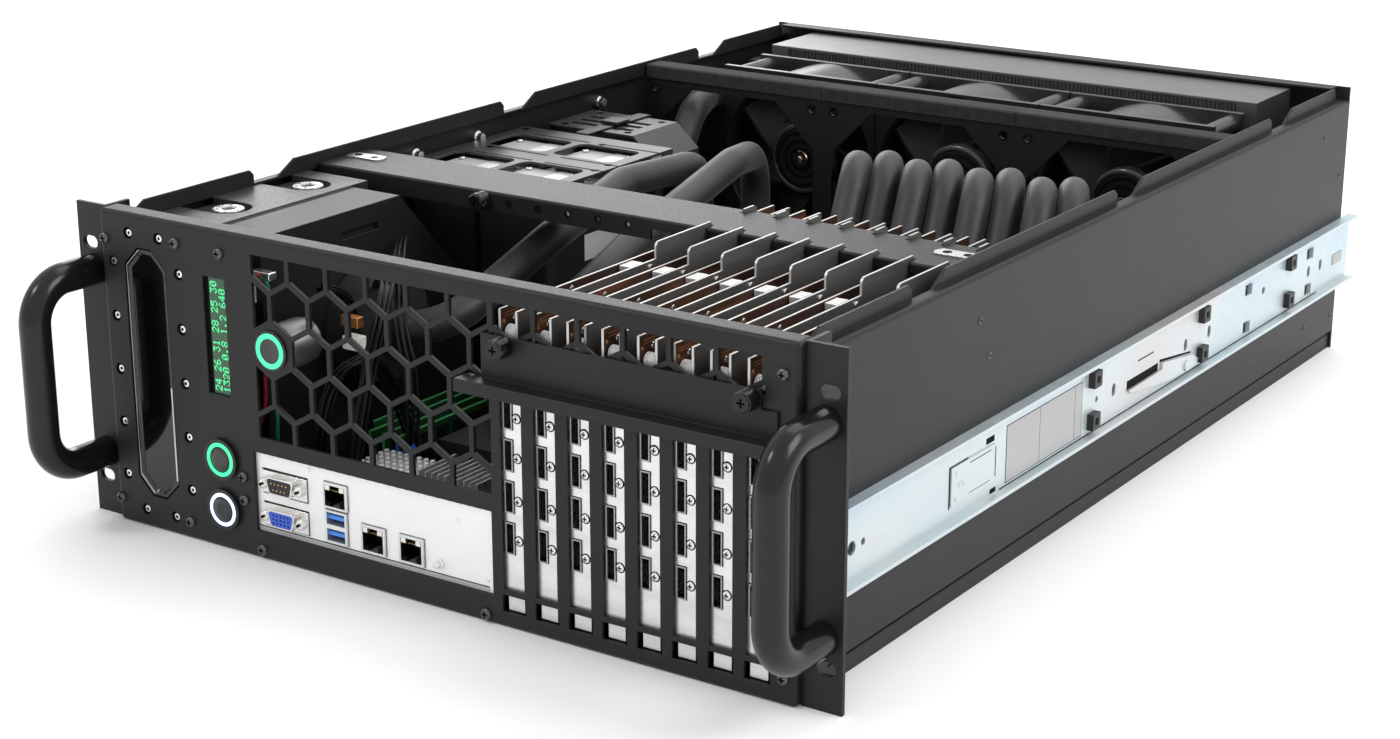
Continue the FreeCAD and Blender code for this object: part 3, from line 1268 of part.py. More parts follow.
def make_fan_frames():
    """Square fan frames: two flanges, a barrel, corner posts and a spider that carries the motor."""
    frames = []
    rear = "fan_y + fan_d"
    for i in range(3):
        x, square = fan_x(i), about(fan_x(i), "fan_size")
        z = about("fan_z", "fan_size")
        shell = [
            box(f"fan_front_{i}", square, span("fan_y", "fan_flange"), z),
            box(f"fan_rear_{i}", square, (f"{rear} - fan_flange", rear), z),
            rod(f"fan_barrel_{i}", "y", x, ("fan_y", rear), "fan_z", "fan_barrel"),
        ]
        corners = [(f"{x} {a} fan_holes / 2", f"fan_z {b} fan_holes / 2") for a in "+-" for b in "+-"]
        for k, (cx, cz) in enumerate(corners):
            shell.append(rod(f"fan_post_{i}_{k}", "y", cx, ("fan_y", rear), cz, "fan_post"))
        bores = [rod(f"fan_bore_{i}", "y", x, ("fan_y - sheet", f"{rear} + sheet"), "fan_z", "fan_bore")]
        for k, (cx, cz) in enumerate(corners):
            bores.append(
                rod(f"fan_hole_{i}_{k}", "y", cx, ("fan_y - sheet", f"{rear} + sheet"), cz, "fan_hole_r")
            )
        ring = cut(f"fan_ring_{i}", fuse(f"fan_shell_{i}", shell), bores)
        spider_y = (f"{rear} - fan_flange", rear)
        spider = [
            ring,
            rod(f"fan_motor_{i}", "y", x, (f"{rear} - motor_h", rear), "fan_z", "hub_r"),
            box(
                f"fan_strut_a_{i}", about(x, "fan_bore * 2 + sheet"), spider_y, about("fan_z", "strut_w")
            ),
            box(
                f"fan_strut_b_{i}", about(x, "strut_w"), spider_y, about("fan_z", "fan_bore * 2 + sheet")
            ),
        ]
        bearing = rod(
            f"fan_bearing_{i}",
            "y",
            x,
            (f"{rear} - motor_h - sheet", f"{rear} - sheet"),
            "fan_z",
            "shaft_r + shaft_fit",
        )
        frames.append(cut(f"fan_frame_{i}", fuse(f"fan_spider_{i}", spider), [bearing]))
    nodes["fan_frames"] = group("fan_frames", frames)


def make_rotor(name, i):
    """Fan rotor: cup-shaped hub on its shaft with seven pitched blades."""
    x = fan_x(i)
    body = body_of(name)
    start = "fan_y + hub_from"
    shaft_end = "fan_d - hub_from - sheet * 2"
    points = [
        ("0", "0"), ("hub_r - fan_flange", "0"), ("hub_r", "fan_flange"), ("hub_r", "hub_l"),
        ("shaft_r", "hub_l"),
        ("shaft_r", shaft_end), ("0", shaft_end),
    ]
    hub = turned(body, f"{name}_hub", x, start, "fan_z", points)
    doc.recompute()
    sections = []
    for end, radius, lead in (
        ("root", "hub_r - blade_t", "blade_lead_root"), ("tip", "blade_tip", "blade_lead_tip")
    ):
        low, high = f"{deep(start)} + fan_flange", f"{deep(start)} + fan_flange + blade_chord"
        corners = [
            (f"{x} - {lead}", low), (f"{x} - {lead} + blade_t", low),
            (f"{x} + {lead} + blade_t", high), (f"{x} + {lead}", high),
        ]
        sections.append(outline(body, f"{name}_{end}", "XY_Plane", f"fan_z + {radius}", corners))
    blade = body.newObject("PartDesign::AdditiveLoft", f"{name}_blade")
    blade.Profile = sections[0]
    blade.Sections = [sections[1]]
    blade.Ruled = True
    doc.recompute()
    spread = body.newObject("PartDesign::PolarPattern", f"{name}_blades")
    spread.Originals = [blade]
    spread.Axis = (hub.Profile[0], ["Axis0"])
    spread.Angle = 360
    spread.Occurrences = 7
    body.Tip = spread
    nodes[name] = body


def make_radiator():
    """Radiator: finned core between two end tanks, in a top and a bottom skin."""
    y = span("rad_from", "rad_d")
    core = box(
        "rad_core",
        about("0", "rad_w - rad_tank * 2"),
        ("rad_from + sheet", "rad_from + rad_d - sheet"),
        ("rad_low + rad_skin / 2", "rad_high - rad_skin / 2"),
    )
    shell = [core]
    shell.append(box("rad_top", about("0", "rad_w"), y, ("rad_high - rad_skin", "rad_high")))
    shell.append(box("rad_base", about("0", "rad_w"), y, span("rad_low", "rad_skin")))
    shell.append(box("rad_tank_left", span("-rad_w / 2", "rad_tank"), y, ("rad_low", "rad_high")))
    shell.append(box("rad_tank_right", ("rad_w / 2 - rad_tank", "rad_w / 2"), y, ("rad_low", "rad_high")))
    port_x = ("-rad_w / 2 - rad_port_w", "-rad_w / 2 + rad_tank / 2")
    shell.append(
        box("rad_port", port_x, span("rad_port_y", "rad_port_l"), about("rad_port_z", "rad_port_w"))
    )
    nodes["radiator"] = fuse("radiator", shell)


def make_power():
    """Rear shelf that carries fans and radiator, and the power supplies under it."""
    x = about("0", "wall_side * 2")
    y = ("wall_y + wall_flange + sheet", "case_d - face_t")
    shelf = [box("shelf_plate", x, y, span("shelf_z", "shelf_t"))]
    for side, low in (("left", "-wall_side"), ("right", "wall_side - sheet")):
        shelf.append(box(f"shelf_leg_{side}", span(low, "sheet"), y, ("sheet", "rad_low")))
    nodes["rear_shelf"] = fuse("rear_shelf", shelf)
    supplies, inlets = [], []
    for i in range(4):
        middle = psu_x(i)
        case = box(
            f"supply_case_{i}",
            about(middle, "psu_w"),
            ("psu_from", "case_d"),
            span("sheet", "psu_h"),
        )
        height = "sheet + psu_h / 2"
        inlet_x = f"{middle} + psu_w / 2 - inlet_side"
        pocket = box(
            f"supply_pocket_{i}",
            about(inlet_x, "inlet_w"),
            ("case_d - inlet_d", "case_d + sheet"),
            about(height, "inlet_h"),
        )
        grille = rod(
            f"supply_grille_{i}",
            "y",
            f"{middle} - psu_w / 2 + inlet_side",
            ("case_d - psu_grille_d", "case_d + sheet"),
            height,
            "psu_grille",
        )
        shell = cut(f"supply_shell_{i}", case, [pocket, grille])
        pull = body_of(f"supply_pull_{i}")
        root, end = "case_d - sheet", "case_d + pull_l"
        low, high = f"{height} - pull_h / 2", f"{height} + pull_h / 2"
        loop = [
            (root, low), (f"{end} - pull_round", low), (end, f"{low} + pull_round"),
            (end, f"{high} - pull_round"), (f"{end} - pull_round", high), (root, high),
            (root, f"{high} - pull_t"), (f"{end} - pull_t", f"{high} - pull_t"),
            (f"{end} - pull_t", f"{low} + pull_t"), (root, f"{low} + pull_t"),
        ]
        side_pad(pull, f"supply_loop_{i}", loop, about(middle, "pull_w"))
        supplies.append(fuse(f"supply_{i}", [shell, pull]))
        surround = box(
            f"inlet_shell_{i}",
            about(inlet_x, "inlet_w"),
            ("case_d - inlet_d", "case_d + inlet_proud"),
            about(height, "inlet_h"),
        )
        mouth = box(
            f"inlet_mouth_{i}",
            about(inlet_x, "inlet_w - inlet_wall * 2"),
            ("case_d - inlet_d + inlet_wall", "case_d + inlet_proud * 2"),
            about(height, "inlet_h - inlet_wall * 2"),
        )
        inlets.append(cut(f"inlet_{i}", surround, [mouth]))
    nodes["power_supplies"] = group("power_supplies", supplies)
    nodes["power_inlets"] = group("power_inlets", inlets)


# Routes of the main hoses: x, depth, height. The first two start at the processor block's barbs
BARB_Y = "cpu_from + cpu_l / 2"
BARB_Z = f"{BOARD_TOP} + cpu_h + fitting_l"
BARB_LEFT, BARB_RIGHT = "cpu_x - cpu_w / 4", "cpu_x + cpu_w / 4"
PUMP_OUT = "cover_right + pump_l - sheet * 2"
MAIN_HOSES = {
    "loop": (
        (BARB_RIGHT, BARB_Y, BARB_Z), (BARB_RIGHT, BARB_Y, 112), (-40, 240, 132), (-60, 372, 150),
        ("return_left + 36", "return_from + 60", 140),
        ("return_left + 36", "return_from + 60", "manifold_top"),
    ),
    "loop_low": (
        (BARB_LEFT, BARB_Y, BARB_Z), (BARB_LEFT, BARB_Y, 90), (-56, 300, 92), (-62, 400, 100),
        ("return_left + 58", "return_from + 74", 94),
        ("return_left + 58", "return_from + 74", "manifold_top"),
    ),
    "plate_edge": (
        (PUMP_OUT, "pump_y", "pump_z"), (-76, "pump_y", "pump_z"), (-66, 196, 141), (-86, 292, 150),
        (-86, 368, 146), ("return_left + 16", "return_from + 24", 118),
        ("return_left + 16", "return_from + 24", "manifold_top"),
    ),
    "radiator": (
        ("return_left", "return_from + 76", 40), (-166, "return_from + 76", 40), (-168, 468, 118),
        (-176, 500, "rad_port_z"), (-198, 550, "rad_port_z"), (-198, "rad_port_y", "rad_port_z"),
    ),
}


def make_hoses():
    """Hoses: one per card over to the manifold, and the main lines."""
    hoses = []
    for i in CARDS:
        start_x = f"{card_x(i)} + block_t / 2"
        odd = i % 2
        top_x = f"{start_x} - crown_lean - stagger_side * {odd}"
        top_y = f"crown_from + stagger_back * {odd}"
        down_x, down_y = f"{top_x} - crown_side", f"{top_y} + crown_back"
        route = [
            point(start_x, "card_end + sheet + fitting_l", "fitting_z"),
            point(start_x, f"rise_y + stagger_back / 2 * {odd}", "fitting_z"),
            point(top_x, top_y, "crown_z"),
            point(down_x, down_y, "crown_z"),
            point(down_x, down_y, "manifold_top"),
        ]
        hose = doc.addObject("Part::Feature", f"card_hose_{i}")
        hose.Shape = tube(route, value("card_hose_r"), value("hose_bend"))
        hoses.append(hose)
    nodes["gpu_hoses"] = group("gpu_hoses", hoses)
    lines = []
    for name, places in MAIN_HOSES.items():
        hose = doc.addObject("Part::Feature", f"main_hose_{name}")
        hose.Shape = tube([point(*place) for place in places], value("hose_r"), value("main_bend"))
        lines.append(hose)
    nodes["main_hoses"] = group("main_hoses", lines)
    height = ("sheet", "manifold_top")
    supply = box(
        "supply_manifold", ("manifold_left", "manifold_right"), ("manifold_from", "manifold_to"), height
    )
    back = box("return_manifold", ("return_left", "return_right"), ("return_from", "return_to"), height)
    nodes["manifolds"] = group("manifolds", [supply, back])


# Openings of the rail's web: depth, height above the rail's lower edge
RAIL_WINDOWS = ((520.5, 31.8), (520.5, 7.8), (622.5, 31.8), (622.5, 7.9))
RAIL_OVALS = ((331, 19.2), (429, 20), (463.3, 19.8), (623.8, 19.6), (644.5, 19.6))
RAIL_ROUNDS = ((45.8, 18.8, 3.6), (56.4, 18.9, 1.9), (309, 19.7, 1.8), (547.1, 25.3, 2.4))
# Outline of the release lever: depth and height from its pin
LEVER_OUTLINE = (
    (10.4, 4.3), (18.5, -0.3), (17, -3.5), (7.8, -4.4), (-23.3, -3.2), (-75.9, 3.7), (-79, 5.9), (-33.5, 6.5),
    (-33.5, 10.5),
)


def make_rails():
    """Inner slide-rail members with their sprung release levers."""
    body = body_of("rail_fold")
    inner, outer = HALF, f"{HALF} + rail_w"
    low, high = "rail_low", "rail_low + rail_h"
    section = [
        (inner, low), (outer, low), (outer, f"{low} + rail_lip"),
        (f"{outer} - rail_t", f"{low} + rail_lip"),
        (f"{outer} - rail_t", f"{low} + rail_t"), (f"{inner} + rail_t", f"{low} + rail_t"),
        (f"{inner} + rail_t", f"{high} - rail_t"), (f"{outer} - rail_t", f"{high} - rail_t"),
        (f"{outer} - rail_t", f"{high} - rail_lip"), (outer, f"{high} - rail_lip"), (outer, high),
        (inner, high),
    ]
    section_pad(body, "rail_channel", section, ("rail_from", "rail_end"))
    web = f"{HALF} + rail_t"
    pin = rod(
        "rail_pin", "x", (f"{web} - rail_t / 2", f"{web} + pin_l"), "lever_pin_y", "lever_z", "pin_r"
    )
    through = (f"{HALF} - rail_t", f"{web} + rail_t")
    openings = []
    for i, (y, z) in enumerate(RAIL_WINDOWS):
        openings.append(
            box(f"rail_window_{i}", through, about(y, "rail_win"), about(f"{low} + {z}", "rail_win"))
        )
    for i, (y, z) in enumerate(RAIL_OVALS):
        straight = "rail_oval_l - rail_oval_w"
        openings.append(
            box(f"rail_oval_{i}", through, about(y, "rail_oval_w"), about(f"{low} + {z}", straight))
        )
        for end, sign in (("low", "-"), ("high", "+")):
            height = f"{low} + {z} {sign} ({straight}) / 2"
            openings.append(rod(f"rail_oval_{i}_{end}", "x", through, y, height, "rail_oval_w / 2"))
    for i, (y, z, radius) in enumerate(RAIL_ROUNDS):
        openings.append(rod(f"rail_round_{i}", "x", through, y, f"{low} + {z}", radius))
    nodes["right_rail"] = fuse("right_rail", [cut("rail_web", body, openings), pin])
    nodes["left_rail"] = mirror("left_rail", nodes["right_rail"])
    x = span(f"{web} + lever_gap", "lever_t")
    lever = body_of("lever_blank")
    outline = [(f"lever_pin_y + ({y})", f"lever_z + ({z})") for y, z in LEVER_OUTLINE]
    side_pad(lever, "lever_plate", outline, x)
    bore = rod(
        "lever_bore", "x", (f"{web}", f"{web} + pin_l"), "lever_pin_y", "lever_z", "pin_r + pin_fit"
    )
    nodes["right_rail_lever"] = cut("right_rail_lever", lever, [bore])
    nodes["left_rail_lever"] = mirror("left_rail_lever", nodes["right_rail_lever"])


make_tray()
make_sides()
make_rear()
make_front()
make_ears()
make_handles()
make_io()
make_board()
make_cards()
make_clamp()
make_crossbar()
make_reservoir()
make_controls()
make_storage()
make_fan_wall()
make_fan_frames()
for place, rotor in enumerate(("fan_rotor_left", "fan_rotor_centre", "fan_rotor_right")):
    make_rotor(rotor, place)
make_radiator()
make_power()
make_hoses()
make_rails()
doc.recompute()

for thing in doc.Objects:
    assert not {"Invalid", "Error"} & set(thing.State), f"{thing.Name} did not build: {thing.State}"

os.makedirs("parts", exist_ok=True)
for name, thing in nodes.items():
    shape = thing.Shape
    assert not shape.isNull() and shape.isValid(), f"{name} has no valid shape"
    thing.Label = name
    shape.exportStep(f"parts/{name}.step")
print(len(nodes), "nodes")
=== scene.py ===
"""Looks of the liquid-cooled rack server: a finish for every solid, and the small fittings that sit on them.

Fittings are placed in millimetres: across, depth behind the front panel's face, height above the base.
"""

from math import cos, pi, radians, sin

import bmesh
import bpy
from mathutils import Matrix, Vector


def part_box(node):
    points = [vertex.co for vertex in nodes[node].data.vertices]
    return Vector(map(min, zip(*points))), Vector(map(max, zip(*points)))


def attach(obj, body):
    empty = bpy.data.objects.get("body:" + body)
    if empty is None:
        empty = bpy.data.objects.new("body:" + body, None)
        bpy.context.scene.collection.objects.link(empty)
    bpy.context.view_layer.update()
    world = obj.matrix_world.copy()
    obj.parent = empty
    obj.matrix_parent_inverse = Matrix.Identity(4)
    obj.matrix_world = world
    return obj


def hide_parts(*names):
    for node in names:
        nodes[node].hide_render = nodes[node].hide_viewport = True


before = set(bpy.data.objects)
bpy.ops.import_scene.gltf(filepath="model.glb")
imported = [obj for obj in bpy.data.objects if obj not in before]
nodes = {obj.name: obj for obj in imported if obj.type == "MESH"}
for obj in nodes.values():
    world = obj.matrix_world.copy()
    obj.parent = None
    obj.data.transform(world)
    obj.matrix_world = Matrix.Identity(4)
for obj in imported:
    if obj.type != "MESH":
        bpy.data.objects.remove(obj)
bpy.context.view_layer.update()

PER_METRE = 1000
MICRON = 1e-6
FACE = round(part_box("front_panel")[0][1] * PER_METRE, 3)


def span(name):
    """Low and high of a solid across, behind the front face and up, in millimetres."""
    low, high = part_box(name)
    x, y, z = [(round(a * PER_METRE, 3), round(b * PER_METRE, 3)) for a, b in zip(low, high)]
    return x, (y[0] - FACE, y[1] - FACE), z


def about(middle, half):
    """Low and high value round a middle."""
    return middle - half, middle + half


def pair(a, b):
    """Two values, the lower one first."""
    return min(a, b), max(a, b)


def around(count, radius, first=0.0):
    """Points evenly spaced on a circle."""
    angles = [first + 2 * pi * k / count for k in range(count)]
    return [(radius * cos(angle), radius * sin(angle)) for angle in angles]


def turned(axis, along, a, b):
    """Values along an axis and beside it, in the order across, behind, up."""
    return {"x": (along, a, b), "y": (a, along, b), "z": (a, b, along)}[axis]


CARD_PITCH = 20.32
CARD_BOARD = 1.6
CARD_X = [span("gpu_boards")[0][0] + CARD_BOARD + CARD_PITCH * i for i in range(8)]
CARD_TOP = span("gpu_boards")[2][1]
TAB_TOP = span("gpu_backplates")[2][1]
SUPPLY_PITCH = 100.0
SUPPLY_X = [SUPPLY_PITCH * k for k in (-1.5, -0.5, 0.5, 1.5)]
FAN_PITCH = 121.0
FAN_X = [FAN_PITCH * k for k in (-1, 0, 1)]
FAN_Z = 110.0
SIDE = span("right_side_panel")[0][1]
RAIL_SHEET = 1.5
REAR = span("rear_panel")[1][1]
BOARD_TOP = span("motherboard")[2][1]
SHIELD_LEFT = span("io_shield")[0][0]
SHIELD_FACE = span("io_shield")[1][0]
BUTTON_X = sum(span("button_bezels")[0]) / 2
BUTTON_Z = {"power": 51.3, "reset": 23.1}

NOISE_LOW, NOISE_HIGH = 0.3, 0.7
BUMP_STRENGTH = 0.6
EDGE_SAMPLES = 4
GLOW_GRAIN = 300.0
GLOW_DIM = 0.85


def fill(made, **values):
    """Inputs of a shader node set by name."""
    for key, value in values.items():
        made.inputs[key.replace("_", " ")].default_value = value


def node(tree, kind, **values):
    """New shader node with its inputs set."""
    made = tree.nodes.new(kind)
    fill(made, **values)
    return made


def grain(tree, scale, stretch=(1, 1, 1), detail=3.0):
    """Noise in the object's own space, in grains per metre."""
    place = tree.nodes.new("ShaderNodeTexCoord")
    turn = node(tree, "ShaderNodeMapping", Scale=stretch)
    tree.links.new(place.outputs["Object"], turn.inputs["Vector"])
    made = node(tree, "ShaderNodeTexNoise", Scale=scale, Detail=detail)
    tree.links.new(turn.outputs["Vector"], made.inputs["Vector"])
    return made.outputs["Fac"]


def ramp(tree, source, stops):
    """Colour ramp fed by a value."""
    made = tree.nodes.new("ShaderNodeValToRGB")
    points = made.color_ramp.elements
    while len(points) < len(stops):
        points.new(0.5)
    for point, (place, colour) in zip(points, stops):
        point.position = place
        point.color = (*colour, 1)
    tree.links.new(source, made.inputs["Fac"])
    return made.outputs["Color"]


def spread(tree, source, low, high):
    """Value moved from the middle of the noise to a range."""
    made = node(tree, "ShaderNodeMapRange", From_Min=NOISE_LOW, From_Max=NOISE_HIGH, To_Min=low, To_Max=high)
    tree.links.new(source, made.inputs["Value"])
    return made.outputs["Result"]


def shade(colour, factor):
    """Colour made lighter or darker."""
    return tuple(min(1.0, c * factor) for c in colour)


def surface(name, colour, rough, metal=0.0, tint=0.1, blotch=14, wander=0.07, fine=900, relief=20,
            stretch=(1, 1, 1), edge=0.0, gleam=0.5, **sockets):
    """Finish with mottled colour, or colour stops, and wandering roughness.

    The relief is in micrometres and the softening of edges in millimetres.
    """
    made = bpy.data.materials.new(name)
    made.use_nodes = True
    tree = made.node_tree
    shader = tree.nodes["Principled BSDF"]
    fill(shader, Metallic=metal, Specular_IOR_Level=gleam, **sockets)
    cloud = grain(tree, blotch, stretch)
    if not isinstance(colour, list):
        colour = [(NOISE_LOW, shade(colour, 1 - tint)), (NOISE_HIGH, shade(colour, 1 + tint))]
    tree.links.new(ramp(tree, cloud, colour), shader.inputs["Base Color"])
    tooth = grain(tree, fine, stretch, detail=2.0)
    tree.links.new(spread(tree, tooth, rough - wander, rough + wander), shader.inputs["Roughness"])
    bump = node(tree, "ShaderNodeBump", Strength=BUMP_STRENGTH, Distance=relief * MICRON)
    tree.links.new(tooth, bump.inputs["Height"])
    if edge:
        soft = node(tree, "ShaderNodeBevel", Radius=edge / PER_METRE)
        soft.samples = EDGE_SAMPLES
        tree.links.new(soft.outputs["Normal"], bump.inputs["Normal"])
    tree.links.new(bump.outputs["Normal"], shader.inputs["Normal"])
    return made


def glow(name, colour, strength):
    """Lit lens: a translucent plastic that shines a little unevenly."""
    made = surface(name, colour, 0.3, fine=1100, relief=50)
    tree = made.node_tree
    shader = tree.nodes["Principled BSDF"]
    stops = [(NOISE_LOW, shade(colour, GLOW_DIM)), (NOISE_HIGH, colour)]
    light = ramp(tree, grain(tree, GLOW_GRAIN), stops)
    tree.links.new(light, shader.inputs["Emission Color"])
    fill(shader, Emission_Strength=strength)
    return made


# Coatings of the case
coat = surface("black_coat", (0.012, 0.012, 0.0123), 0.44, tint=0.15, fine=1500, relief=90, edge=0.9,
               gleam=0.28)
# Lighter copy of the black coat for the storage cage and controller cover: painted light, standing in for the
# sheen on these horizontal tops.
painted_lit_coat = surface("painted_lit_coat", (0.028, 0.028, 0.0285), 0.4, tint=0.15, fine=1500, relief=70, edge=0.5,
                    gleam=0.6)
handle = surface("handle_coat", (0.006, 0.006, 0.0062), 0.21, tint=0.15, fine=1300, relief=30,
                 wander=0.04, gleam=0.36)
satin = surface("satin_black", (0.20, 0.20, 0.205), 0.4, 0.9, tint=0.05, wander=0.02, fine=60, relief=0,
                edge=0.8)
# Near-black finish: the own colour of black parts such as coils and chips, and also painted shade standing in
# for the dark of holes, slots, recesses and gaps.
dark = surface("black_and_painted_shade", (0.003, 0.003, 0.003), 0.6, tint=0.15, gleam=0.06)

# Mouldings
ink = surface("black_moulding", (0.007, 0.007, 0.0075), 0.42, tint=0.15, relief=40)
gloss = surface("gloss_moulding", (0.007, 0.007, 0.0075), 0.2, tint=0.15, fine=160, relief=40,
                Coat_Weight=0.3)
acetal = surface("acetal", (0.026, 0.026, 0.027), 0.42, tint=0.15, fine=700, relief=40, edge=0.6)
fan_gloss = surface("fan_moulding", (0.014, 0.014, 0.0145), 0.33, wander=0.04, fine=300, relief=10,
                    edge=0.5, gleam=0.9)
rotor_black = surface("rotor_moulding", (0.014, 0.014, 0.0145), 0.5, fine=300, relief=10, gleam=0.3)
# Hub rims: glossy black moulding with a lighter base than the rotor, a painted sheen on the rim.
hub_gloss_and_painted_sheen = surface("hub_moulding_and_painted_sheen", (0.05, 0.05, 0.052), 0.3, fine=200, relief=0, Coat_Weight=0.6)
blue = surface("blue_insert", (0.03, 0.09, 0.55), 0.4, fine=800)
sky = surface("blue_tongue", (0.05, 0.26, 0.80), 0.4, fine=800)
white = surface("white_moulding", (0.75, 0.75, 0.72), 0.45, tint=0.06, fine=800)
pane = surface("clear_pane", (0.002, 0.002, 0.0022), 0.03, wander=0.01, fine=60, relief=0)

# Hoses, seals, wires and paper
rubber = surface("hose_rubber", (0.017, 0.018, 0.0195), 0.5, tint=0.25, blotch=30, fine=1600, relief=100,
                 Sheen_Weight=0.12, Sheen_Roughness=0.4)
foam = surface("seal_foam", (0.020, 0.021, 0.023), 0.9, tint=0.3, blotch=240, fine=2200, relief=400)
braid = surface("braid", (0.86, 0.86, 0.85), 0.45, 0.25, blotch=300, relief=80)
red = surface("red_wire", (0.30, 0.010, 0.03), 0.4, fine=800)
teal = surface("teal_wire", (0.008, 0.15, 0.12), 0.4, fine=800)
sleeve = surface("cable_sleeve", (0.004, 0.004, 0.0043), 0.38, tint=0.2, relief=30, gleam=0.2)
paper = surface("paper", (0.95, 0.95, 0.94), 0.7, tint=0.02, relief=10)
grey_foil = surface("grey_foil", (0.40, 0.40, 0.40), 0.5, 0.1, tint=0.05, relief=10)

# Metals
zinc_blooms = [(0.28, (0.42, 0.53, 0.60)), (0.45, (0.54, 0.64, 0.69)), (0.6, (0.62, 0.67, 0.68)),
               (0.75, (0.60, 0.57, 0.58))]
zinc = surface("zinc", zinc_blooms, 0.42, 0.55, blotch=9, fine=260, edge=0.4, stretch=(1, 0.5, 1))
steel = surface("bright_steel", (0.74, 0.74, 0.735), 0.32, 0.85, fine=240, relief=30, stretch=(1, 1, 9),
                edge=0.3)
port_steel = surface("port_steel", (0.34, 0.33, 0.32), 0.3, 0.9, fine=300, relief=10)
plate_steel = surface("plate_steel", (0.27, 0.27, 0.265), 0.36, 0.8, tint=0.12, blotch=20, fine=300,
                      relief=30, stretch=(1, 0.15, 3), edge=0.2)
shield = surface("shield_steel", (0.86, 0.86, 0.86), 0.45, 0.5, tint=0.04, fine=700, relief=30, edge=0.3)
# Pale strips on edges: painted highlights along edges and bevels.
painted_edge_highlight = surface("painted_edge_highlight", (0.60, 0.60, 0.59), 0.42, 0.6, fine=500)
blackened = surface("blackened_screw", (0.11, 0.11, 0.112), 0.3, 0.8, fine=700)
nickel = surface("nickel", (0.80, 0.79, 0.77), 0.22, 0.95, tint=0.06, fine=500, relief=10, edge=0.2)
alloy = surface("aluminium", (0.66, 0.67, 0.68), 0.4, 0.6, tint=0.08, fine=420, relief=30,
                stretch=(6, 1, 1), edge=0.3)
copper_stains = [(0.3, (0.12, 0.045, 0.025)), (0.5, (0.22, 0.085, 0.04)), (0.75, (0.34, 0.14, 0.065))]
copper = surface("copper", copper_stains, 0.4, 0.7, blotch=22, fine=380, relief=30, stretch=(1, 0.2, 1))
copper_coil = surface("copper_coil", (0.62, 0.26, 0.09), 0.35, 0.8, tint=0.15, blotch=200, fine=600,
                      relief=40)
gold = surface("gold_contacts", (0.80, 0.55, 0.20), 0.28, 1.0, tint=0.08, fine=600, relief=10)
brass = surface("brass", (0.75, 0.58, 0.34), 0.22, 1.0, tint=0.08, fine=500, relief=10)

# Circuit boards
board_tones = [(0.35, (0.006, 0.008, 0.007)), (0.62, (0.011, 0.014, 0.012)), (0.72, (0.03, 0.03, 0.026))]
board = surface("black_board", board_tones, 0.38, relief=30, blotch=60)
card_tracks = [(0.38, (0.030, 0.014, 0.009)), (0.55, (0.050, 0.022, 0.013)), (0.62, (0.13, 0.048, 0.018)),
               (0.68, (0.045, 0.020, 0.012))]
card_board = surface("card_board", card_tracks, 0.4, blotch=120, relief=30, stretch=(1, 0.06, 1))
edge_laminate = surface("edge_laminate", (0.62, 0.60, 0.56), 0.45, 0.2, tint=0.08, fine=700)
green_board = surface("green_board", (0.008, 0.045, 0.015), 0.4, tint=0.3, blotch=90, relief=30)
leaf_green = surface("board_edge", (0.07, 0.36, 0.12), 0.45, relief=10)

# Lights
screen = glow("screen_glass", (0.020, 0.060, 0.030), 0.5)
dots = glow("screen_dots", (0.06, 0.80, 0.28), 1.1)
green_light = glow("green_light", (0.03, 0.85, 0.25), 1.6)
white_light = glow("white_light", (0.55, 0.68, 1.0), 1.5)

FINISHES = {
    coat: ("base_tray left_side_panel right_side_panel rear_panel front_panel left_ear right_ear clamp_bar "
           "crossbar fan_wall rear_shelf pump_cover"),
    handle: "left_handle right_handle clamp_screw_left clamp_screw_right crossbar_screw",
    zinc: "left_rail right_rail left_rail_lever right_rail_lever",
    steel: "gpu_brackets d_sub_ports jack_ports",
    port_steel: "display_ports",
    plate_steel: "gpu_backplates",
    shield: "io_shield",
    nickel: "gpu_terminals reservoir_screws fill_cap_front fill_cap_rear",
    board: "motherboard",
    card_board: "gpu_boards",
    ink: "card_slots power_inlets button_bezels manifolds",
    fan_gloss: "fan_frames",
    green_board: "memory_modules",
    copper: "gpu_water_blocks",
    acetal: "reservoir_body pump cpu_water_block storage_drives",
    pane: "reservoir_window",
    rubber: "gpu_hoses main_hoses",
    rotor_black: "fan_rotor_left fan_rotor_centre fan_rotor_right",
    gloss: "power_button reset_button",
    satin: "radiator",
    alloy: "board_heatsinks power_supplies",
    painted_lit_coat: "storage_cage controller_cover",
    screen: "lcd_display",
    green_light: "status_light button_lights",
}
for finish, names in FINISHES.items():
    for name in names.split():
        nodes[name].data.materials.clear()
        nodes[name].data.materials.append(finish)


def metres(x, p, z):
    """Place in the scene of a point given across, behind the front face and up."""
    return x / PER_METRE, (FACE + p) / PER_METRE, z / PER_METRE


def placed(name, data):
    """Object put in the scene."""
    made = bpy.data.objects.new(name, data)
    bpy.context.scene.collection.objects.link(made)
    return made


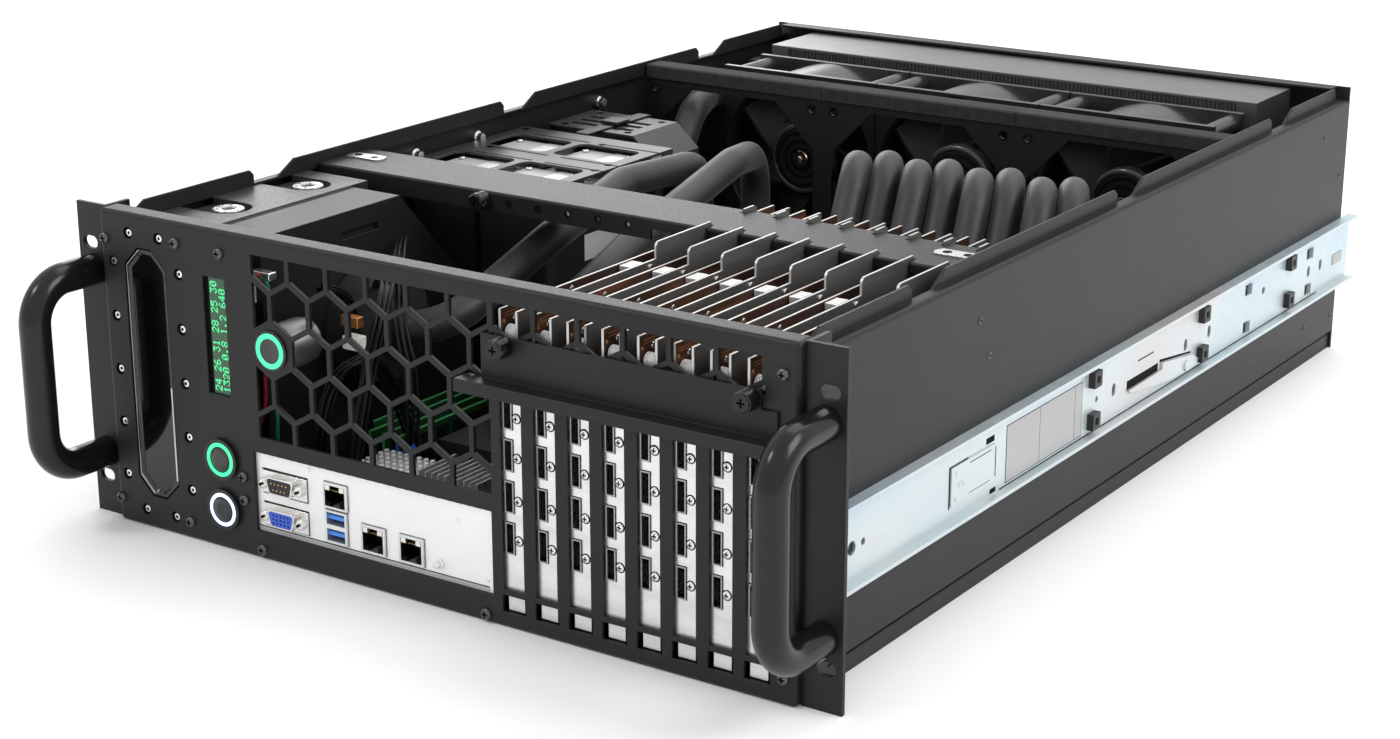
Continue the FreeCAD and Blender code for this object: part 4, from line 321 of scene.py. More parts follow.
class Fitting:
    """Mesh gathered from forms in millimetres, each in its own finish or the first one."""

    BOX_SIDES = ((0, 1, 3, 2), (4, 6, 7, 5), (0, 4, 5, 1), (2, 3, 7, 6), (0, 2, 6, 4), (1, 5, 7, 3))
    DOME = ((1.0, 0.0), (1.0, 0.45), (0.8, 0.85), (0.4, 1.0))
    CROSS_LONG, CROSS_THIN = 0.55, 0.16
    CROSS_DEPTH, CROSS_PROUD = 0.7, 0.06
    SHARP = radians(40)

    def __init__(self, finish):
        self.mesh = bmesh.new()
        self.finishes = [finish]

    def faces(self, points, loops, finish=None, smooth=False):
        """Faces over given points."""
        finish = finish or self.finishes[0]
        if finish not in self.finishes:
            self.finishes.append(finish)
        corners = [self.mesh.verts.new(metres(*point)) for point in points]
        for loop in loops:
            face = self.mesh.faces.new([corners[i] for i in loop])
            face.material_index = self.finishes.index(finish)
            face.smooth = smooth

    def block(self, x, p, z, finish=None):
        """Box between low and high values."""
        self.faces([(a, b, c) for a in x for b in p for c in z], self.BOX_SIDES, finish)

    def prism(self, axis, outline, low, high, finish=None):
        """Outline pulled along an axis: its points are in the other two directions."""
        count = len(outline)
        points = [turned(axis, along, a, b) for along in (low, high) for a, b in outline]
        loops = [tuple(range(count)), tuple(range(count, 2 * count))]
        loops += [(i, (i + 1) % count, count + (i + 1) % count, count + i) for i in range(count)]
        self.faces(points, loops, finish)

    def spun(self, axis, x, p, z, profile, finish=None, count=24, capped=True):
        """Profile of radius and place along the axis, turned round it."""
        points, loops = [], []
        for radius, along in profile:
            for a, b in around(count, radius):
                dx, dp, dz = turned(axis, along, a, b)
                points.append((x + dx, p + dp, z + dz))
        for row in range(len(profile) - 1):
            for k in range(count):
                i, j = row * count + k, row * count + (k + 1) % count
                loops.append((i, j, j + count, i + count))
        if capped:
            loops.append(tuple(range(count)))
            loops.append(tuple(range((len(profile) - 1) * count, len(profile) * count)))
        self.faces(points, loops, finish, smooth=True)

    def rod(self, axis, x, p, z, radius, length, finish=None, count=20):
        """Round bar from a point along an axis."""
        self.spun(axis, x, p, z, [(radius, 0), (radius, length)], finish, count)

    def ring(self, axis, x, p, z, inner, outer, length, finish=None, count=28):
        """Tube from a point along an axis."""
        profile = [(inner, 0), (outer, 0), (outer, length), (inner, length), (inner, 0)]
        self.spun(axis, x, p, z, profile, finish, count, capped=False)

    def screw(self, axis, x, p, z, radius, height, finish=None, sign=-1):
        """Domed head standing off a face, with a cross recess painted on as dark bars."""
        self.spun(axis, x, p, z, [(radius * r, sign * height * h) for r, h in self.DOME], finish, count=16)
        # The cross recess is painted shade: two dark bars standing just proud of the dome, not a cut.
        depth = pair(sign * height * self.CROSS_DEPTH, sign * (height + self.CROSS_PROUD))
        long, thin = about(0, self.CROSS_LONG * radius), about(0, self.CROSS_THIN * radius)
        for a, b in ((long, thin), (thin, long)):
            reach = turned(axis, depth, a, b)
            sides = [(place + low, place + high) for place, (low, high) in zip((x, p, z), reach)]
            self.block(*sides, dark)

    def done(self, name, body="case", bevel=0.0, replaces=()):
        """Piece in the scene, riding on its body."""
        bmesh.ops.recalc_face_normals(self.mesh, faces=self.mesh.faces)
        data = bpy.data.meshes.new(name)
        self.mesh.to_mesh(data)
        self.mesh.free()
        for finish in self.finishes:
            data.materials.append(finish)
        data.set_sharp_from_angle(angle=self.SHARP)
        piece = placed(name, data)
        if bevel:
            soften = piece.modifiers.new("edges", "BEVEL")
            soften.width = bevel / PER_METRE
            soften.segments = 2
            soften.limit_method = "ANGLE"
        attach(piece, body)
        if replaces:
            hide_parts(*replaces)


def wire(name, points, radius, finish):
    """Insulated wire held at both ends inside the case."""
    data = bpy.data.curves.new(name, "CURVE")
    data.dimensions = "3D"
    data.bevel_depth = radius / PER_METRE
    data.bevel_resolution = 3
    line = data.splines.new("NURBS")
    line.points.add(len(points) - 1)
    for point, place in zip(line.points, points):
        point.co = (*metres(*place), 1)
    line.order_u = 3
    line.use_endpoint_u = True
    data.materials.append(finish)
    piece = placed(name, data)
    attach(piece, "case")


def panel_screws():
    """Black screws of the front panel."""
    head, height = 3.1, 2
    places = [(-216, 161), (-164, 165.6), (-132.6, 164.7), (-217, 13.4), (-165, 9.9), (-124, 44), (-124, 31),
              (-112.6, 5.3), (38, 4.6), (211, 161), (212.5, 13.7)]
    made = Fitting(blackened)
    for x, z in places:
        made.screw("y", x, 0, z, head, height)
    made.done("panel_screws")


def window_screws():
    """Bright screws of the sight window, sunk in holes of the panel, with painted shade in their sockets and
    round them in the holes.
    """
    head, socket, hole_radius = 2.15, 0.9, 2.9
    profile = [(head, 8), (head, 1.3), (1.9, 0.95), (socket, 0.86)]
    recess = [(socket, 0.88), (0.8, 0.84)]
    floor, floor_sheet = 1.88, 0.1
    lowest, pitch, rows = 28.3, 30.1, 5
    places = [(x, lowest + pitch * i) for x in (-211.3, -163) for i in range(rows)]
    places += [(x, z) for x in (-198.5, -176.4) for z in (10.1, 166)]
    made = Fitting(nickel)
    for x, z in places:
        made.spun("y", x, 0, z, profile, count=18, capped=False)
        # Dark socket in each head and a dark ring at the bottom of the hole: painted shade.
        made.spun("y", x, 0, z, recess, dark, count=6)
        made.ring("y", x, floor, z, head, hole_radius, floor_sheet, dark, count=18)
    made.done("window_screws", replaces=["reservoir_screws"])


def knurls():
    """Ridged grips of the thumbscrews: two drums with a groove between them."""
    teeth, root, crest = 30, 4.9, 5.3
    root_turn, crest_turn = 0.085, 0.03
    tooth = ((root, -root_turn), (crest, -crest_turn), (crest, crest_turn), (root, root_turn))
    drums = ((0.7, 4), (5, 8.6))
    clamp_front, clamp_height = -10.6, 147.3
    for body, x, p, z in (("clamp_screw_left", 54.4, clamp_front, clamp_height),
                          ("clamp_screw_right", 195.1, clamp_front, clamp_height),
                          ("crossbar_screw", -88.1, 154.6, 165.6)):
        made = Fitting(gloss)
        for k in range(teeth):
            angle = 2 * pi * k / teeth
            outline = [(x + r * cos(angle + turn), z + r * sin(angle + turn)) for r, turn in tooth]
            for start, end in drums:
                made.prism("y", outline, p + start, p + end)
        made.done(f"{body}_knurl", body)


# Plain figures on a grid of five by seven dots, row by row from the top
FIGURES = {
    "0": "01110 10001 10011 10101 11001 10001 01110",
    "1": "00100 01100 00100 00100 00100 00100 01110",
    "2": "01110 10001 00001 00010 00100 01000 11111",
    "3": "11111 00010 00100 00010 00001 10001 01110",
    "4": "00010 00110 01010 10010 11111 00010 00010",
    "5": "11111 10000 11110 00001 00001 10001 01110",
    "6": "00110 01000 10000 11110 10001 10001 01110",
    "8": "01110 10001 10001 01110 10001 10001 01110",
    ".": "00000 00000 00000 00000 00000 01100 01100",
    " ": "",
}


def display():
    """Lit display with two lines of plain figures, read from the side."""
    left, split, right = -145.2, -142.6, -130.2
    front, back = 1.5, 1.98
    first_x, line_pitch, row_pitch, dot_high = -141.7, 5.9, 0.68, 0.55
    first_z, figure_pitch, dot_pitch, dot_wide = 89, 3.55, 0.58, 0.46
    dot_sheet = 0.1
    made = Fitting(screen)
    made.block((split, right), (front, back), (87.4, 150.6))
    made.block((left, split), (front - 0.2, back), (87.2, 150.8), dark)
    for line, text in enumerate(("24 26 31 28 25 30", "1320 0.8 1.2 640")):
        for k, figure in enumerate(text):
            for r, row in enumerate(FIGURES[figure].split()):
                for c, dot in enumerate(row):
                    if dot == "1":
                        x = first_x + line_pitch * line + row_pitch * r
                        z = first_z + figure_pitch * k + dot_pitch * c
                        made.block((x, x + dot_high), (front - dot_sheet, front), (z, z + dot_wide), dots)
    made.done("display_face")


def button_lights():
    """Lit rings of the two buttons and their dished faces."""
    ring = [(7.25, 0.2), (7.4, -0.15), (9.1, -0.15), (9.35, 0.2)]
    dish = [(6.7, 0.1), (6.2, -0.25), (3, -0.12), (0.1, -0.06)]
    ring_front, dish_front = -2.2, -1.8
    made = Fitting(green_light)
    for finish, z in zip((green_light, white_light), BUTTON_Z.values()):
        made.spun("y", BUTTON_X, ring_front, z, ring, finish, count=40, capped=False)
    made.done("light_rings", replaces=["button_lights"])
    for key, z in BUTTON_Z.items():
        made = Fitting(gloss)
        made.spun("y", BUTTON_X, dish_front, z, dish, count=32)
        made.done(f"{key}_button_face", f"{key}_button")


def status_lamp():
    """Round lamp: black rim, lit ring, dished middle and housing."""
    x, z, front = -99.05, 118.1, -1.2
    rim = [(10.8, 1.2), (10.8, 0.2), (10.2, -0.3), (9.4, -0.3)]
    ring = [(9.4, -0.3), (9.2, -0.5), (7, -0.5), (6.8, -0.3)]
    dish = [(6.8, -0.3), (5.6, -0.15), (0.1, -0.1)]
    neck, neck_length = 8, 4
    housing = [(12, 0), (12.6, 0.8), (12.6, 18), (11.6, 19), (11.6, 22), (8, 23)]
    made = Fitting(green_light)
    for profile, finish in ((rim, gloss), (ring, green_light), (dish, gloss)):
        made.spun("y", x, front, z, profile, finish, count=40, capped=False)
    made.rod("y", x, 0, z, neck, neck_length, satin)
    made.spun("y", x, neck_length, z, housing, satin, count=40)
    made.done("status_lamp", replaces=["status_light"])


def d_shape(x, z, wide, high, taper):
    """Rounded trapezoid, wider at its top, about a middle."""
    corner = 1.6
    points = []
    for sx, sz, first in ((1, 1, 0), (-1, 1, 90), (-1, -1, 180), (1, -1, 270)):
        edge = wide / 2 - (taper if sz < 0 else 0)
        cx, cz = x + sx * (edge - corner), z + sz * (high / 2 - corner)
        for step in range(0, 91, 30):
            angle = radians(first + step)
            points.append((cx + corner * cos(angle), cz + corner * sin(angle)))
    return points


def d_sub_sockets():
    """Serial and video sockets: flange, body, tapered shell, contacts and nuts."""
    x, half_wide, half_high = -96, 15.4, 6.2
    nose, flange, seat, back = -3, 1.2, 3, 24
    shell, core = (18.4, 9.4, 1.3), (17, 8, 1.2)
    core_proud, core_depth = 0.1, 1
    contact_pitch, contact_length = 2.6, 0.6
    nut_place, nut = 12.4, [(3.1, 0), (3.1, -3.4), (2.2, -4)]
    nut_hole, nut_hole_start, nut_hole_length = 0.9, -3.3, -0.8
    serial = (44.35, ink, ((1.7, 5), (-1.7, 4)), -3.6, 0.45, gold)
    # The video socket's pin holes are dark rods: painted shade in the holes.
    video = (26.1, blue, ((2.2, 5), (0, 5), (-2.2, 5)), -3.2, 0.6, dark)
    made = Fitting(nickel)
    for z, filling, rows, start, radius, contact in (serial, video):
        wide, high = about(x, half_wide), about(z, half_high)
        made.block(wide, (flange, seat), high)
        made.block(wide, (seat, back), high, ink)
        made.prism("y", d_shape(x, z, *shell), nose, flange)
        made.prism("y", d_shape(x, z, *core), nose - core_proud, nose + core_depth, filling)
        for up, count in rows:
            for k in range(count):
                across = (k - (count - 1) / 2) * contact_pitch
                made.rod("y", x + across, start, z + up, radius, contact_length, contact, count=8)
        for side in (-nut_place, nut_place):
            made.spun("y", x + side, flange, z, nut, count=6)
            # Dark rod in each nut: painted shade in the threaded hole.
            made.rod("y", x + side, nut_hole_start, z, nut_hole, nut_hole_length, dark, count=12)
    made.done("d_sub_sockets", bevel=0.15, replaces=["d_sub_ports"])


def socket_insides():
    """Insides of the network and bus sockets; the shield's stud, teeth and dimples, and painted shade of its
    fold.
    """
    wall, back, end = 1.3, 9, 11.9
    # The insides are near-black: partly black plastic, partly painted shade deep in the socket mouths.
    made = Fitting(dark)
    for x, low, high in ((-60.8, 38.6, 52.6), (-35.9, 19.6, 34.6), (-10.5, 19.6, 34.6)):
        inner = (low + wall, high - wall)
        made.block(about(x, 6.6), (back, end), inner)
        walls = (5.9, 6.7, (0.7, 11), inner, dark)
        notch_sides = (3.2, 6, (0.7, 11), (low + wall, low + 3.6), dark)
        corner_blocks = (3.3, 6.4, (0.45, 2), (high - 3.9, high - wall), nickel)
        for near, far, p, z, finish in (walls, notch_sides, corner_blocks):
            for side in (-1, 1):
                made.block(pair(x + side * near, x + side * far), p, z, finish)
        for k in range(8):
            made.block(about(x + (k - 3.5) * 1.05, 0.22), (3, back), (high - 4.9, high - 4.5), gold)
    for low in (19.6, 28.6):
        made.block(about(-60.8, 6), (2, end), (low + 3.9, low + 6), sky)
        made.block(about(-60.8, 6.1), (back, end), (low + wall, low + 7.7))
    stud = [(2.6, 0), (2.6, -1.2), (1.7, -1.6), (1.7, -3.4), (1.1, -3.8)]
    made.spun("y", 7.4, SHIELD_FACE, 23.9, stud, nickel, count=20)
    tooth_top, tooth_tip, tooth_pitch, tooth_sheet = 59.2, 58.4, 6.6, 0.4
    for k in range(24):
        x = SHIELD_LEFT + 5 + tooth_pitch * k
        tooth = [(x, tooth_top), (x + 2.6, tooth_top), (x + 1.9, tooth_tip), (x + 0.7, tooth_tip)]
        made.prism("y", tooth, SHIELD_FACE - tooth_sheet, SHIELD_FACE, nickel)
    dimple = [(1.2, 0), (0.9, -0.35), (0.2, -0.45)]
    for x, z in ((-112.5, 40), (-112.5, 21), (-79, 56.5), (20, 50), (38, 22)):
        made.spun("y", x, SHIELD_FACE, z, dimple, nickel, count=14)
    # The fold is painted on the flat shield: a grey band and a dark line over it, painted shade of the bend.
    fold_end, fold_low, fold_high, fold_line = 39, 16.3, 18.2, 18.6
    made.block((SHIELD_LEFT, fold_end), (SHIELD_FACE - 0.3, SHIELD_FACE), (fold_low, fold_high), grey_foil)
    made.block((SHIELD_LEFT, fold_end), (SHIELD_FACE - 0.2, SHIELD_FACE), (fold_high, fold_line))
    made.done("socket_insides")


def bracket_fittings():
    """Tongues and contacts of the display sockets, and screws of the brackets, with painted shade in the
    socket mouths and round the screws in their holes.
    """
    top, pitch, back = 112.6, 21.67, 7
    tongue, tongue_front = (2.9, 4.1), 1.9
    contact_pitch, contact_high = 1.3, 0.5
    socket_x, socket_half, cut_wide, cut_high = 1.4, 7.5, 1.2, 2.3
    screw_x, screw, hole, hole_front, hole_sheet = 8.7, 2.2, 2.75, 1.93, 0.07
    made = Fitting(dark)
    for x in CARD_X:
        for k in range(4):
            z = top - pitch * k
            made.block((x + tongue[0], x + tongue[1]), (tongue_front, back), about(z, 5.6))
            # Dark block behind each tongue: painted shade at the back of the socket.
            made.block((x + 1.5, x + 5.5), (5.5, back), about(z, 7.3))
            for step in range(8):
                low = z - 4.9 + contact_pitch * step
                made.block((x + tongue[1], x + tongue[1] + 0.1), (2.1, 5), (low, low + contact_high), gold)
        for side in (-1, 1):
            left, end = x + socket_x, z + side * socket_half
            corner = [(left, end), (left + cut_wide, end), (left, end - side * cut_high)]
            made.prism("y", corner, 1.4, 5)
        for z in (110.5, 90, 67.7, 47):
            # Dark ring round each screw: painted shade in its hole.
            made.ring("y", x + screw_x, hole_front, z, screw, hole, hole_sheet, count=18)
            made.screw("y", x + screw_x, 2, z, screw, 0.9, nickel)
    made.done("bracket_fittings")


def card_terminals():
    """Braided terminals of the cards: bright strands over a grey core."""
    low, high = 152, 164
    first, pitch, count, strand_wide = 99.1, 2.35, 5, 1.4
    core_drop = 0.3
    bar_p, bar_z, bar, bar_length = 8.2, 151.9, 3.2, 7.5
    turn_pitch, turns = 1.25, 6
    turn_profile = [(3.1, 0), (3.8, 0.25), (3.8, 0.7), (3.1, 0.95)]
    made = Fitting(braid)
    for x in CARD_X:
        for k in range(count):
            p = first + pitch * k
            made.block((x + 0.9, x + 7.7), (p, p + strand_wide), (low, high))
        made.block((x + 1.2, x + 7.4), (99, 110), (low, high - core_drop), grey_foil)
        made.rod("x", x + 0.5, bar_p, bar_z, bar, bar_length, grey_foil)
        for k in range(turns):
            place = x + 0.6 + turn_pitch * k
            made.spun("x", place, bar_p, bar_z, turn_profile, count=20, capped=False)
    made.done("card_terminals", bevel=0.15, replaces=["gpu_terminals"])


def card_edges():
    """Pale board edges, rivets, tracks and chips above the water blocks."""
    proud, front, front_end, rear = 0.06, 2.82, 3.2, 247.9
    rivet = [(1.7, 0), (1.5, 0.35), (0.2, 0.45)]
    via = [(1, 0), (0.9, 0.3), (0.2, 0.4)]
    tab_bolt = [(1.9, 0), (1.7, 0.8), (0.4, 1.1)]
    lift = 0.02
    made = Fitting(edge_laminate)
    for x in CARD_X:
        made.block((x - 1.35, x - 0.25), (front_end, rear), (CARD_TOP - 0.3, CARD_TOP + proud))
        made.block((x - 1.45, x - 0.15), (front, front_end), (130, CARD_TOP + proud))
        made.spun("x", x + 10.1, 113.5, 160.9, tab_bolt, nickel, count=14)
        made.spun("x", x + lift, 5.2, 157.8, via, copper_coil, count=14)
        for z in (159.6, 161.2):
            made.block((x, x + 0.06), (6, 60), (z, z + 0.45), copper_coil)
        for p, z in ((14, 157.4), (24, 160.6), (60, 160.8), (150, 160.5), (236, 160.5)):
            made.spun("x", x + lift, p, z, rivet, nickel, count=14)
        for p in (128, 150, 172, 194):
            made.block((x, x + 0.9), (p, p + 7), (158.4, 160.6), ink)
    made.done("card_edges")


def edge_paths(lift):
    """Lines just off a backplate's top and tabs, as depth and height."""
    low, high, corner = CARD_TOP, TAB_TOP, 3
    start, front, front_end, rear_start, rear, end = 2.9, 118.9, 169.6, 202.4, 214.4, 247.8
    turns = [radians(15 * k) for k in range(7)]
    reach = corner + lift
    front_bend = [(front + corner - reach * cos(a), high - corner + reach * sin(a)) for a in turns]
    rear_bend = [(rear - corner + reach * sin(a), high - corner + reach * cos(a)) for a in turns]
    front_tab = [(front - lift, low), *front_bend, (front_end, high + lift)]
    rear_tab = [(rear_start, high + lift), *rear_bend, (rear + lift, low)]
    head = [(start - lift, 130), (start - lift, low + lift), (front, low + lift)]
    tail = [(rear, low + lift), (end, low + lift)]
    return head, front_tab, rear_tab, tail


def plate_edges():
    """Painted highlights along the cut edges of the backplates."""
    lift, sides = 0.06, (8.85, 9.85)
    made = Fitting(painted_edge_highlight)
    for x in CARD_X:
        for path in edge_paths(lift):
            points = [(x + side, p, z) for p, z in path for side in sides]
            made.faces(points, [(2 * i, 2 * i + 1, 2 * i + 3, 2 * i + 2) for i in range(len(path) - 1)])
    made.done("plate_edges")


def crossbar_details():
    """Clips on top of the crossbar and rims of the holes in its front."""
    top = span("crossbar")[2][1]
    clip_x, p, half_long, point_long, half_deep, clip_sheet = 196, 189, 11, 13, 5, 0.9
    hole_place, hole_radius = 6, 2.6
    made = Fitting(nickel)
    for x in (clip_x, -clip_x):
        left, right = about(x, half_long)
        near, far = about(p, half_deep)
        outline = [(left, near), (right, near), (x + point_long, p),
                   (right, far), (left, far), (x - point_long, p)]
        made.prism("z", outline, top, top + clip_sheet)
        for side in (-hole_place, hole_place):
            # Dark discs for the clip's holes: painted shade.
            made.rod("z", x + side, p, top + 0.85, hole_radius, 0.12, dark, count=18)
    for k in range(5):
        made.ring("y", -71 + 20.2 * k, 163.3, 165.6, 1.6, 2.3, 0.32, handle)
    made.done("crossbar_fittings")


def window_octagon(inset):
    """Outline of the sight window, drawn in by an inset."""
    left, right, low, high = -202.5 + inset, -172 - inset, 19 + inset, 159 - inset
    cut = 10 - inset * 0.4
    return [(left, low + cut), (left + cut, low), (right - cut, low), (right, low + cut), (right, high - cut),
            (right - cut, high), (left + cut, high), (left, high - cut)]


def window_steps():
    """Polished steps round the sight window with painted highlights on them, and a seam of the pump cover."""
    land, foot, edge_front = 0.5, 1.9, 0.46
    low_left, high_left, left = 0, 6, 7
    made = Fitting(gloss)
    made.block((-164.4, -160.6), (26, 138.2), (167.9, 168.08), dark)
    bands = ((0.1, 1, foot, land), (1, 2.4, land, land), (2.4, 3.6, land, foot))
    for outer, inner, p_outer, p_inner in bands:
        points = [(x, p_outer, z) for x, z in window_octagon(outer)]
        points += [(x, p_inner, z) for x, z in window_octagon(inner)]
        made.faces(points, [(i, (i + 1) % 8, 8 + (i + 1) % 8, 8 + i) for i in range(8)])
    # Light strips on the steps and along the window's right edge are painted highlights: reflections on the
    # polished bevels.
    lines = ((1.1, 1.45, left), (1.1, 1.45, low_left), (1.9, 2.2, low_left), (1.1, 1.4, high_left))
    for outer, inner, side in lines:
        first, second = window_octagon(outer), window_octagon(inner)
        after = (side + 1) % 8
        ends = [first[side], first[after], second[after], second[side]]
        made.faces([(x, edge_front, z) for x, z in ends], [(0, 1, 2, 3)], painted_edge_highlight)
    ends = [(-174.3, 31), (-173.3, 31), (-173.3, 84), (-174.3, 84)]
    made.faces([(x, edge_front, z) for x, z in ends], [(0, 1, 2, 3)], painted_edge_highlight)
    made.done("window_steps")


def cap_faces():
    """Rims of the fill caps with six small holes, drawn as dark discs of painted shade."""
    x, inner, outer, sheet = -187, 4.9, 8.3, 0.5
    ring_z, hole_z, hole_circle, hole_radius = 167.45, 167.9, 6.6, 0.8
    for body, p in (("fill_cap_front", 64), ("fill_cap_rear", 128)):
        made = Fitting(nickel)
        made.ring("z", x, p, ring_z, inner, outer, sheet, count=36)
        for a, b in around(6, hole_circle):
            made.rod("z", x + a, p + b, hole_z, hole_radius, 0.12, dark, count=10)
        made.done(f"{body}_face", body)


def pump_details():
    """Rings and bolts on the face of the pump."""
    x, p, z = -110, 104, 104
    rib, bolt_circle, bolt = 1.2, 26.8, [(2.6, 0), (2.6, 2), (1.6, 2.2)]
    made = Fitting(gloss)
    for radius in (29, 24.5, 20):
        made.ring("x", x - 0.1, p, z, radius - rib, radius, 1, count=48)
    for a, b in around(4, bolt_circle, pi / 4):
        made.spun("x", x, p + a, z + b, bolt, nickel, count=16)
    made.done("pump_fittings")


def hose_clamps():
    """Collars on the hoses where they meet blocks and fittings."""
    main, main_outer, card, card_outer, pipe_outer = 9.4, 10.9, 8.7, 9.5, 9.1
    made = Fitting(ink)
    for x, p in ((-20.5, 133), (-51.5, 133)):
        made.ring("z", x, p, 58.2, main, main_outer, 7)
    for x, p in ((-86, 440), (-64, 454), (-106, 404)):
        made.ring("z", x, p, 60.4, main, main_outer, 8)
    for i, x in enumerate(CARD_X):
        odd = i % 2
        made.ring("y", x + 4.3, 258.2, 62, card, card_outer, 6)
        made.ring("z", x - 28.6 - 5.35 * odd, 390 + 10.7 * odd, 60.2, card, pipe_outer, 7)
    made.done("hose_collars")


def fan_details():
    """Hub rings, cap and bearing of each rotor."""
    front, rib, rib_length = 553, 1.4, 0.9
    cap_rim = [(24.7, 8), (24.7, 1.2), (24.2, 0.2), (23, -0.4), (21.6, -0.4), (21.2, 0.1)]
    boss = [(8.4, 0), (8.2, -1.3), (6.2, -1.6)]
    bush = [(6, 0), (5.6, -0.7), (2.8, -0.9)]
    tip = [(2.2, 0), (1.6, -0.6), (0.2, -0.7)]
    for side, x in zip(("left", "centre", "right"), FAN_X):
        made = Fitting(gloss)
        for radius in (19, 13.5):
            made.ring("y", x, front - 0.6, FAN_Z, radius - rib, radius, rib_length, count=48)
        # The cap rim takes the lighter hub finish: a painted sheen.
        made.spun("y", x, front, FAN_Z, cap_rim, hub_gloss_and_painted_sheen, count=64, capped=False)
        made.spun("y", x, front, FAN_Z, boss, count=32)
        made.spun("y", x, front - 1.5, FAN_Z, bush, brass, count=32)
        made.spun("y", x, front - 2.4, FAN_Z, tip, nickel, count=20)
        made.done(f"fan_hub_{side}", f"fan_rotor_{side}")


def board_parts():
    """Capacitors, coils, headers and a chip on the motherboard."""
    can, can_height, can_pitch = 2.9, 8.5, 11
    coil, coil_pitch, coil_height = 7, 9.6, 5.5
    headers = [(-118, 30, 8, 52, 11, white), (-119, 150, 9, 34, 12, white), (-112, 210, 46, 9, 10, ink),
               (-50, 212, 34, 8, 9, ink), (30, 170, 14, 36, 8, white), (18, 205, 22, 12, 9, ink)]
    made = Fitting(nickel)
    for k in range(14):
        x, p = -92 + can_pitch * k, 15.5
        made.rod("z", x, p, BOARD_TOP, can, can_height, count=16)
        made.rod("z", x, p, BOARD_TOP + can_height, 2.2, 0.15, ink, count=12)
    for k in range(8):
        x, p = -74 + coil_pitch * k, 82
        made.block((x, x + coil), (p, p + coil), (BOARD_TOP, BOARD_TOP + coil_height), dark)
    for x, p, wide, deep, high, finish in headers:
        made.block((x, x + wide), (p, p + deep), (BOARD_TOP, BOARD_TOP + high), finish)
    made.block((-34, -12), (178, 200), (BOARD_TOP, BOARD_TOP + 2.4), dark)
    made.done("board_parts", bevel=0.3)


def memory_chips():
    """Chips, contacts, board edges, sockets and latches of the memory modules."""
    pitch, (front, rear) = 9.4, span("memory_modules")[1]
    latch, latch_in, latch_out, latch_high = 2.6, 3, 5, 16
    chip, chip_first, chip_pitch, chip_long = 1.25, 76, 13.6, 10
    skin, edge_low, edge_top = 0.74, 54.4, 54.86
    made = Fitting(ink)
    for bank in (-106, 3):
        for i in range(4):
            x = bank + pitch * i
            for p in ((front - latch_out, front + latch_in), (rear - latch_in, rear + latch_out)):
                made.block(about(x, latch), p, (BOARD_TOP, BOARD_TOP + latch_high))
            for k in range(9):
                p = chip_first + chip_pitch * k
                made.block(about(x, chip), (p, p + chip_long), (37.5, 51.5))
            made.block(about(x, 0.72), (72, 201.5), (27, 29.4), gold)
            made.block(about(x, skin), (front - 0.04, rear + 0.04), (edge_low, edge_top), leaf_green)
            made.block(about(x, skin), (front - 0.06, front + 0.2), (28, edge_top), leaf_green)
            made.block(about(x, 3.05), (front - 0.1, rear + 0.1), (BOARD_TOP, 27.65))
    made.done("memory_chips")


def heatsink_fins():
    """Pins of the left heatsink, fins of the right one and blue clips."""
    base = 45
    made = Fitting(braid)
    for a in range(9):
        for b in range(6):
            x, p = -70 + 4.5 * a, 28 + 5 * b
            made.block(about(x, 1), about(p, 1.1), (base, 54.5))
    for k in range(10):
        x = -25.5 + 4.2 * k
        made.block((x, x + 0.8), (26, 56), (base, 60), steel)
    for x in (-66, -61.5, -60.2, -55.6, -54.2):
        made.block((x, x + 0.8), (56.4, 57.4), (base, 59), blue)
    made.done("heatsink_fins")


def harness():
    """Two coloured wires, four bundles of black ones and their plugs."""
    wire_radius, sleeve_radius = 1.2, 0.95
    red_route = [(-126, 10, 152), (-127, 24, 148), (-130, 30, 141), (-126, 29, 134), (-130, 31, 127),
                 (-127, 28, 118), (-126, 22, 100), (-124, 20, 76), (-133, 20, 62),
                 (-128, 28, 44), (-115, 44, 30)]
    teal_route = [(-129, 10, 152), (-130, 26, 148), (-126, 29, 141), (-130, 31, 134), (-126, 29, 127),
                  (-129, 28, 118), (-119, 22, 98), (-116, 20, 74), (-118, 20, 58),
                  (-119, 28, 42), (-113, 54, 30)]
    for k, (finish, points) in enumerate(((red, red_route), (teal, teal_route))):
        wire(f"harness_wire_{k}", points, wire_radius, finish)
    bundles = [
        [(-96, 26, 40), (-90, 26, 84), (-84, 44, 108), (-80, 70, 92), (-78, 82, 50)],
        [(-72, 26, 40), (-62, 30, 100), (-64, 48, 138), (-86, 80, 144), (-112, 96, 128)],
        [(-60, 60, 40), (-56, 62, 88), (-70, 66, 120), (-92, 92, 146), (-120, 130, 146)],
        [(-84, 24, 148), (-96, 50, 138), (-105, 68, 122), (-105, 70, 104), (-104, 78, 50)],
    ]
    spots = [(0, 0), (2.3, 0.6), (0.8, 2.3), (-1.6, 1.8), (-2.2, -0.8), (-0.2, -2.3), (2, -1.8)]
    looseness = [1, 1.7, 1.3, 1.6, 0.9]
    rise = 0.5
    for k, points in enumerate(bundles):
        for j, (across, up) in enumerate(spots):
            line = [(x + across * a, p + up * a, z + rise * up) for (x, p, z), a in zip(points, looseness)]
            wire(f"harness_bundle_{k}_{j}", line, sleeve_radius, sleeve)
    made = Fitting(white)
    made.block((-92, -81), (46, 53), (108.5, 116))
    made.block((-93, -81), (46.5, 51.5), (121, 127), copper_coil)
    made.block((-131, -117.5), (20, 26.2), (147, 151.5), nickel)
    made.block((-134, -132.4), (22, 26.2), (132, 143.5))
    made.done("harness_plugs", bevel=0.6)


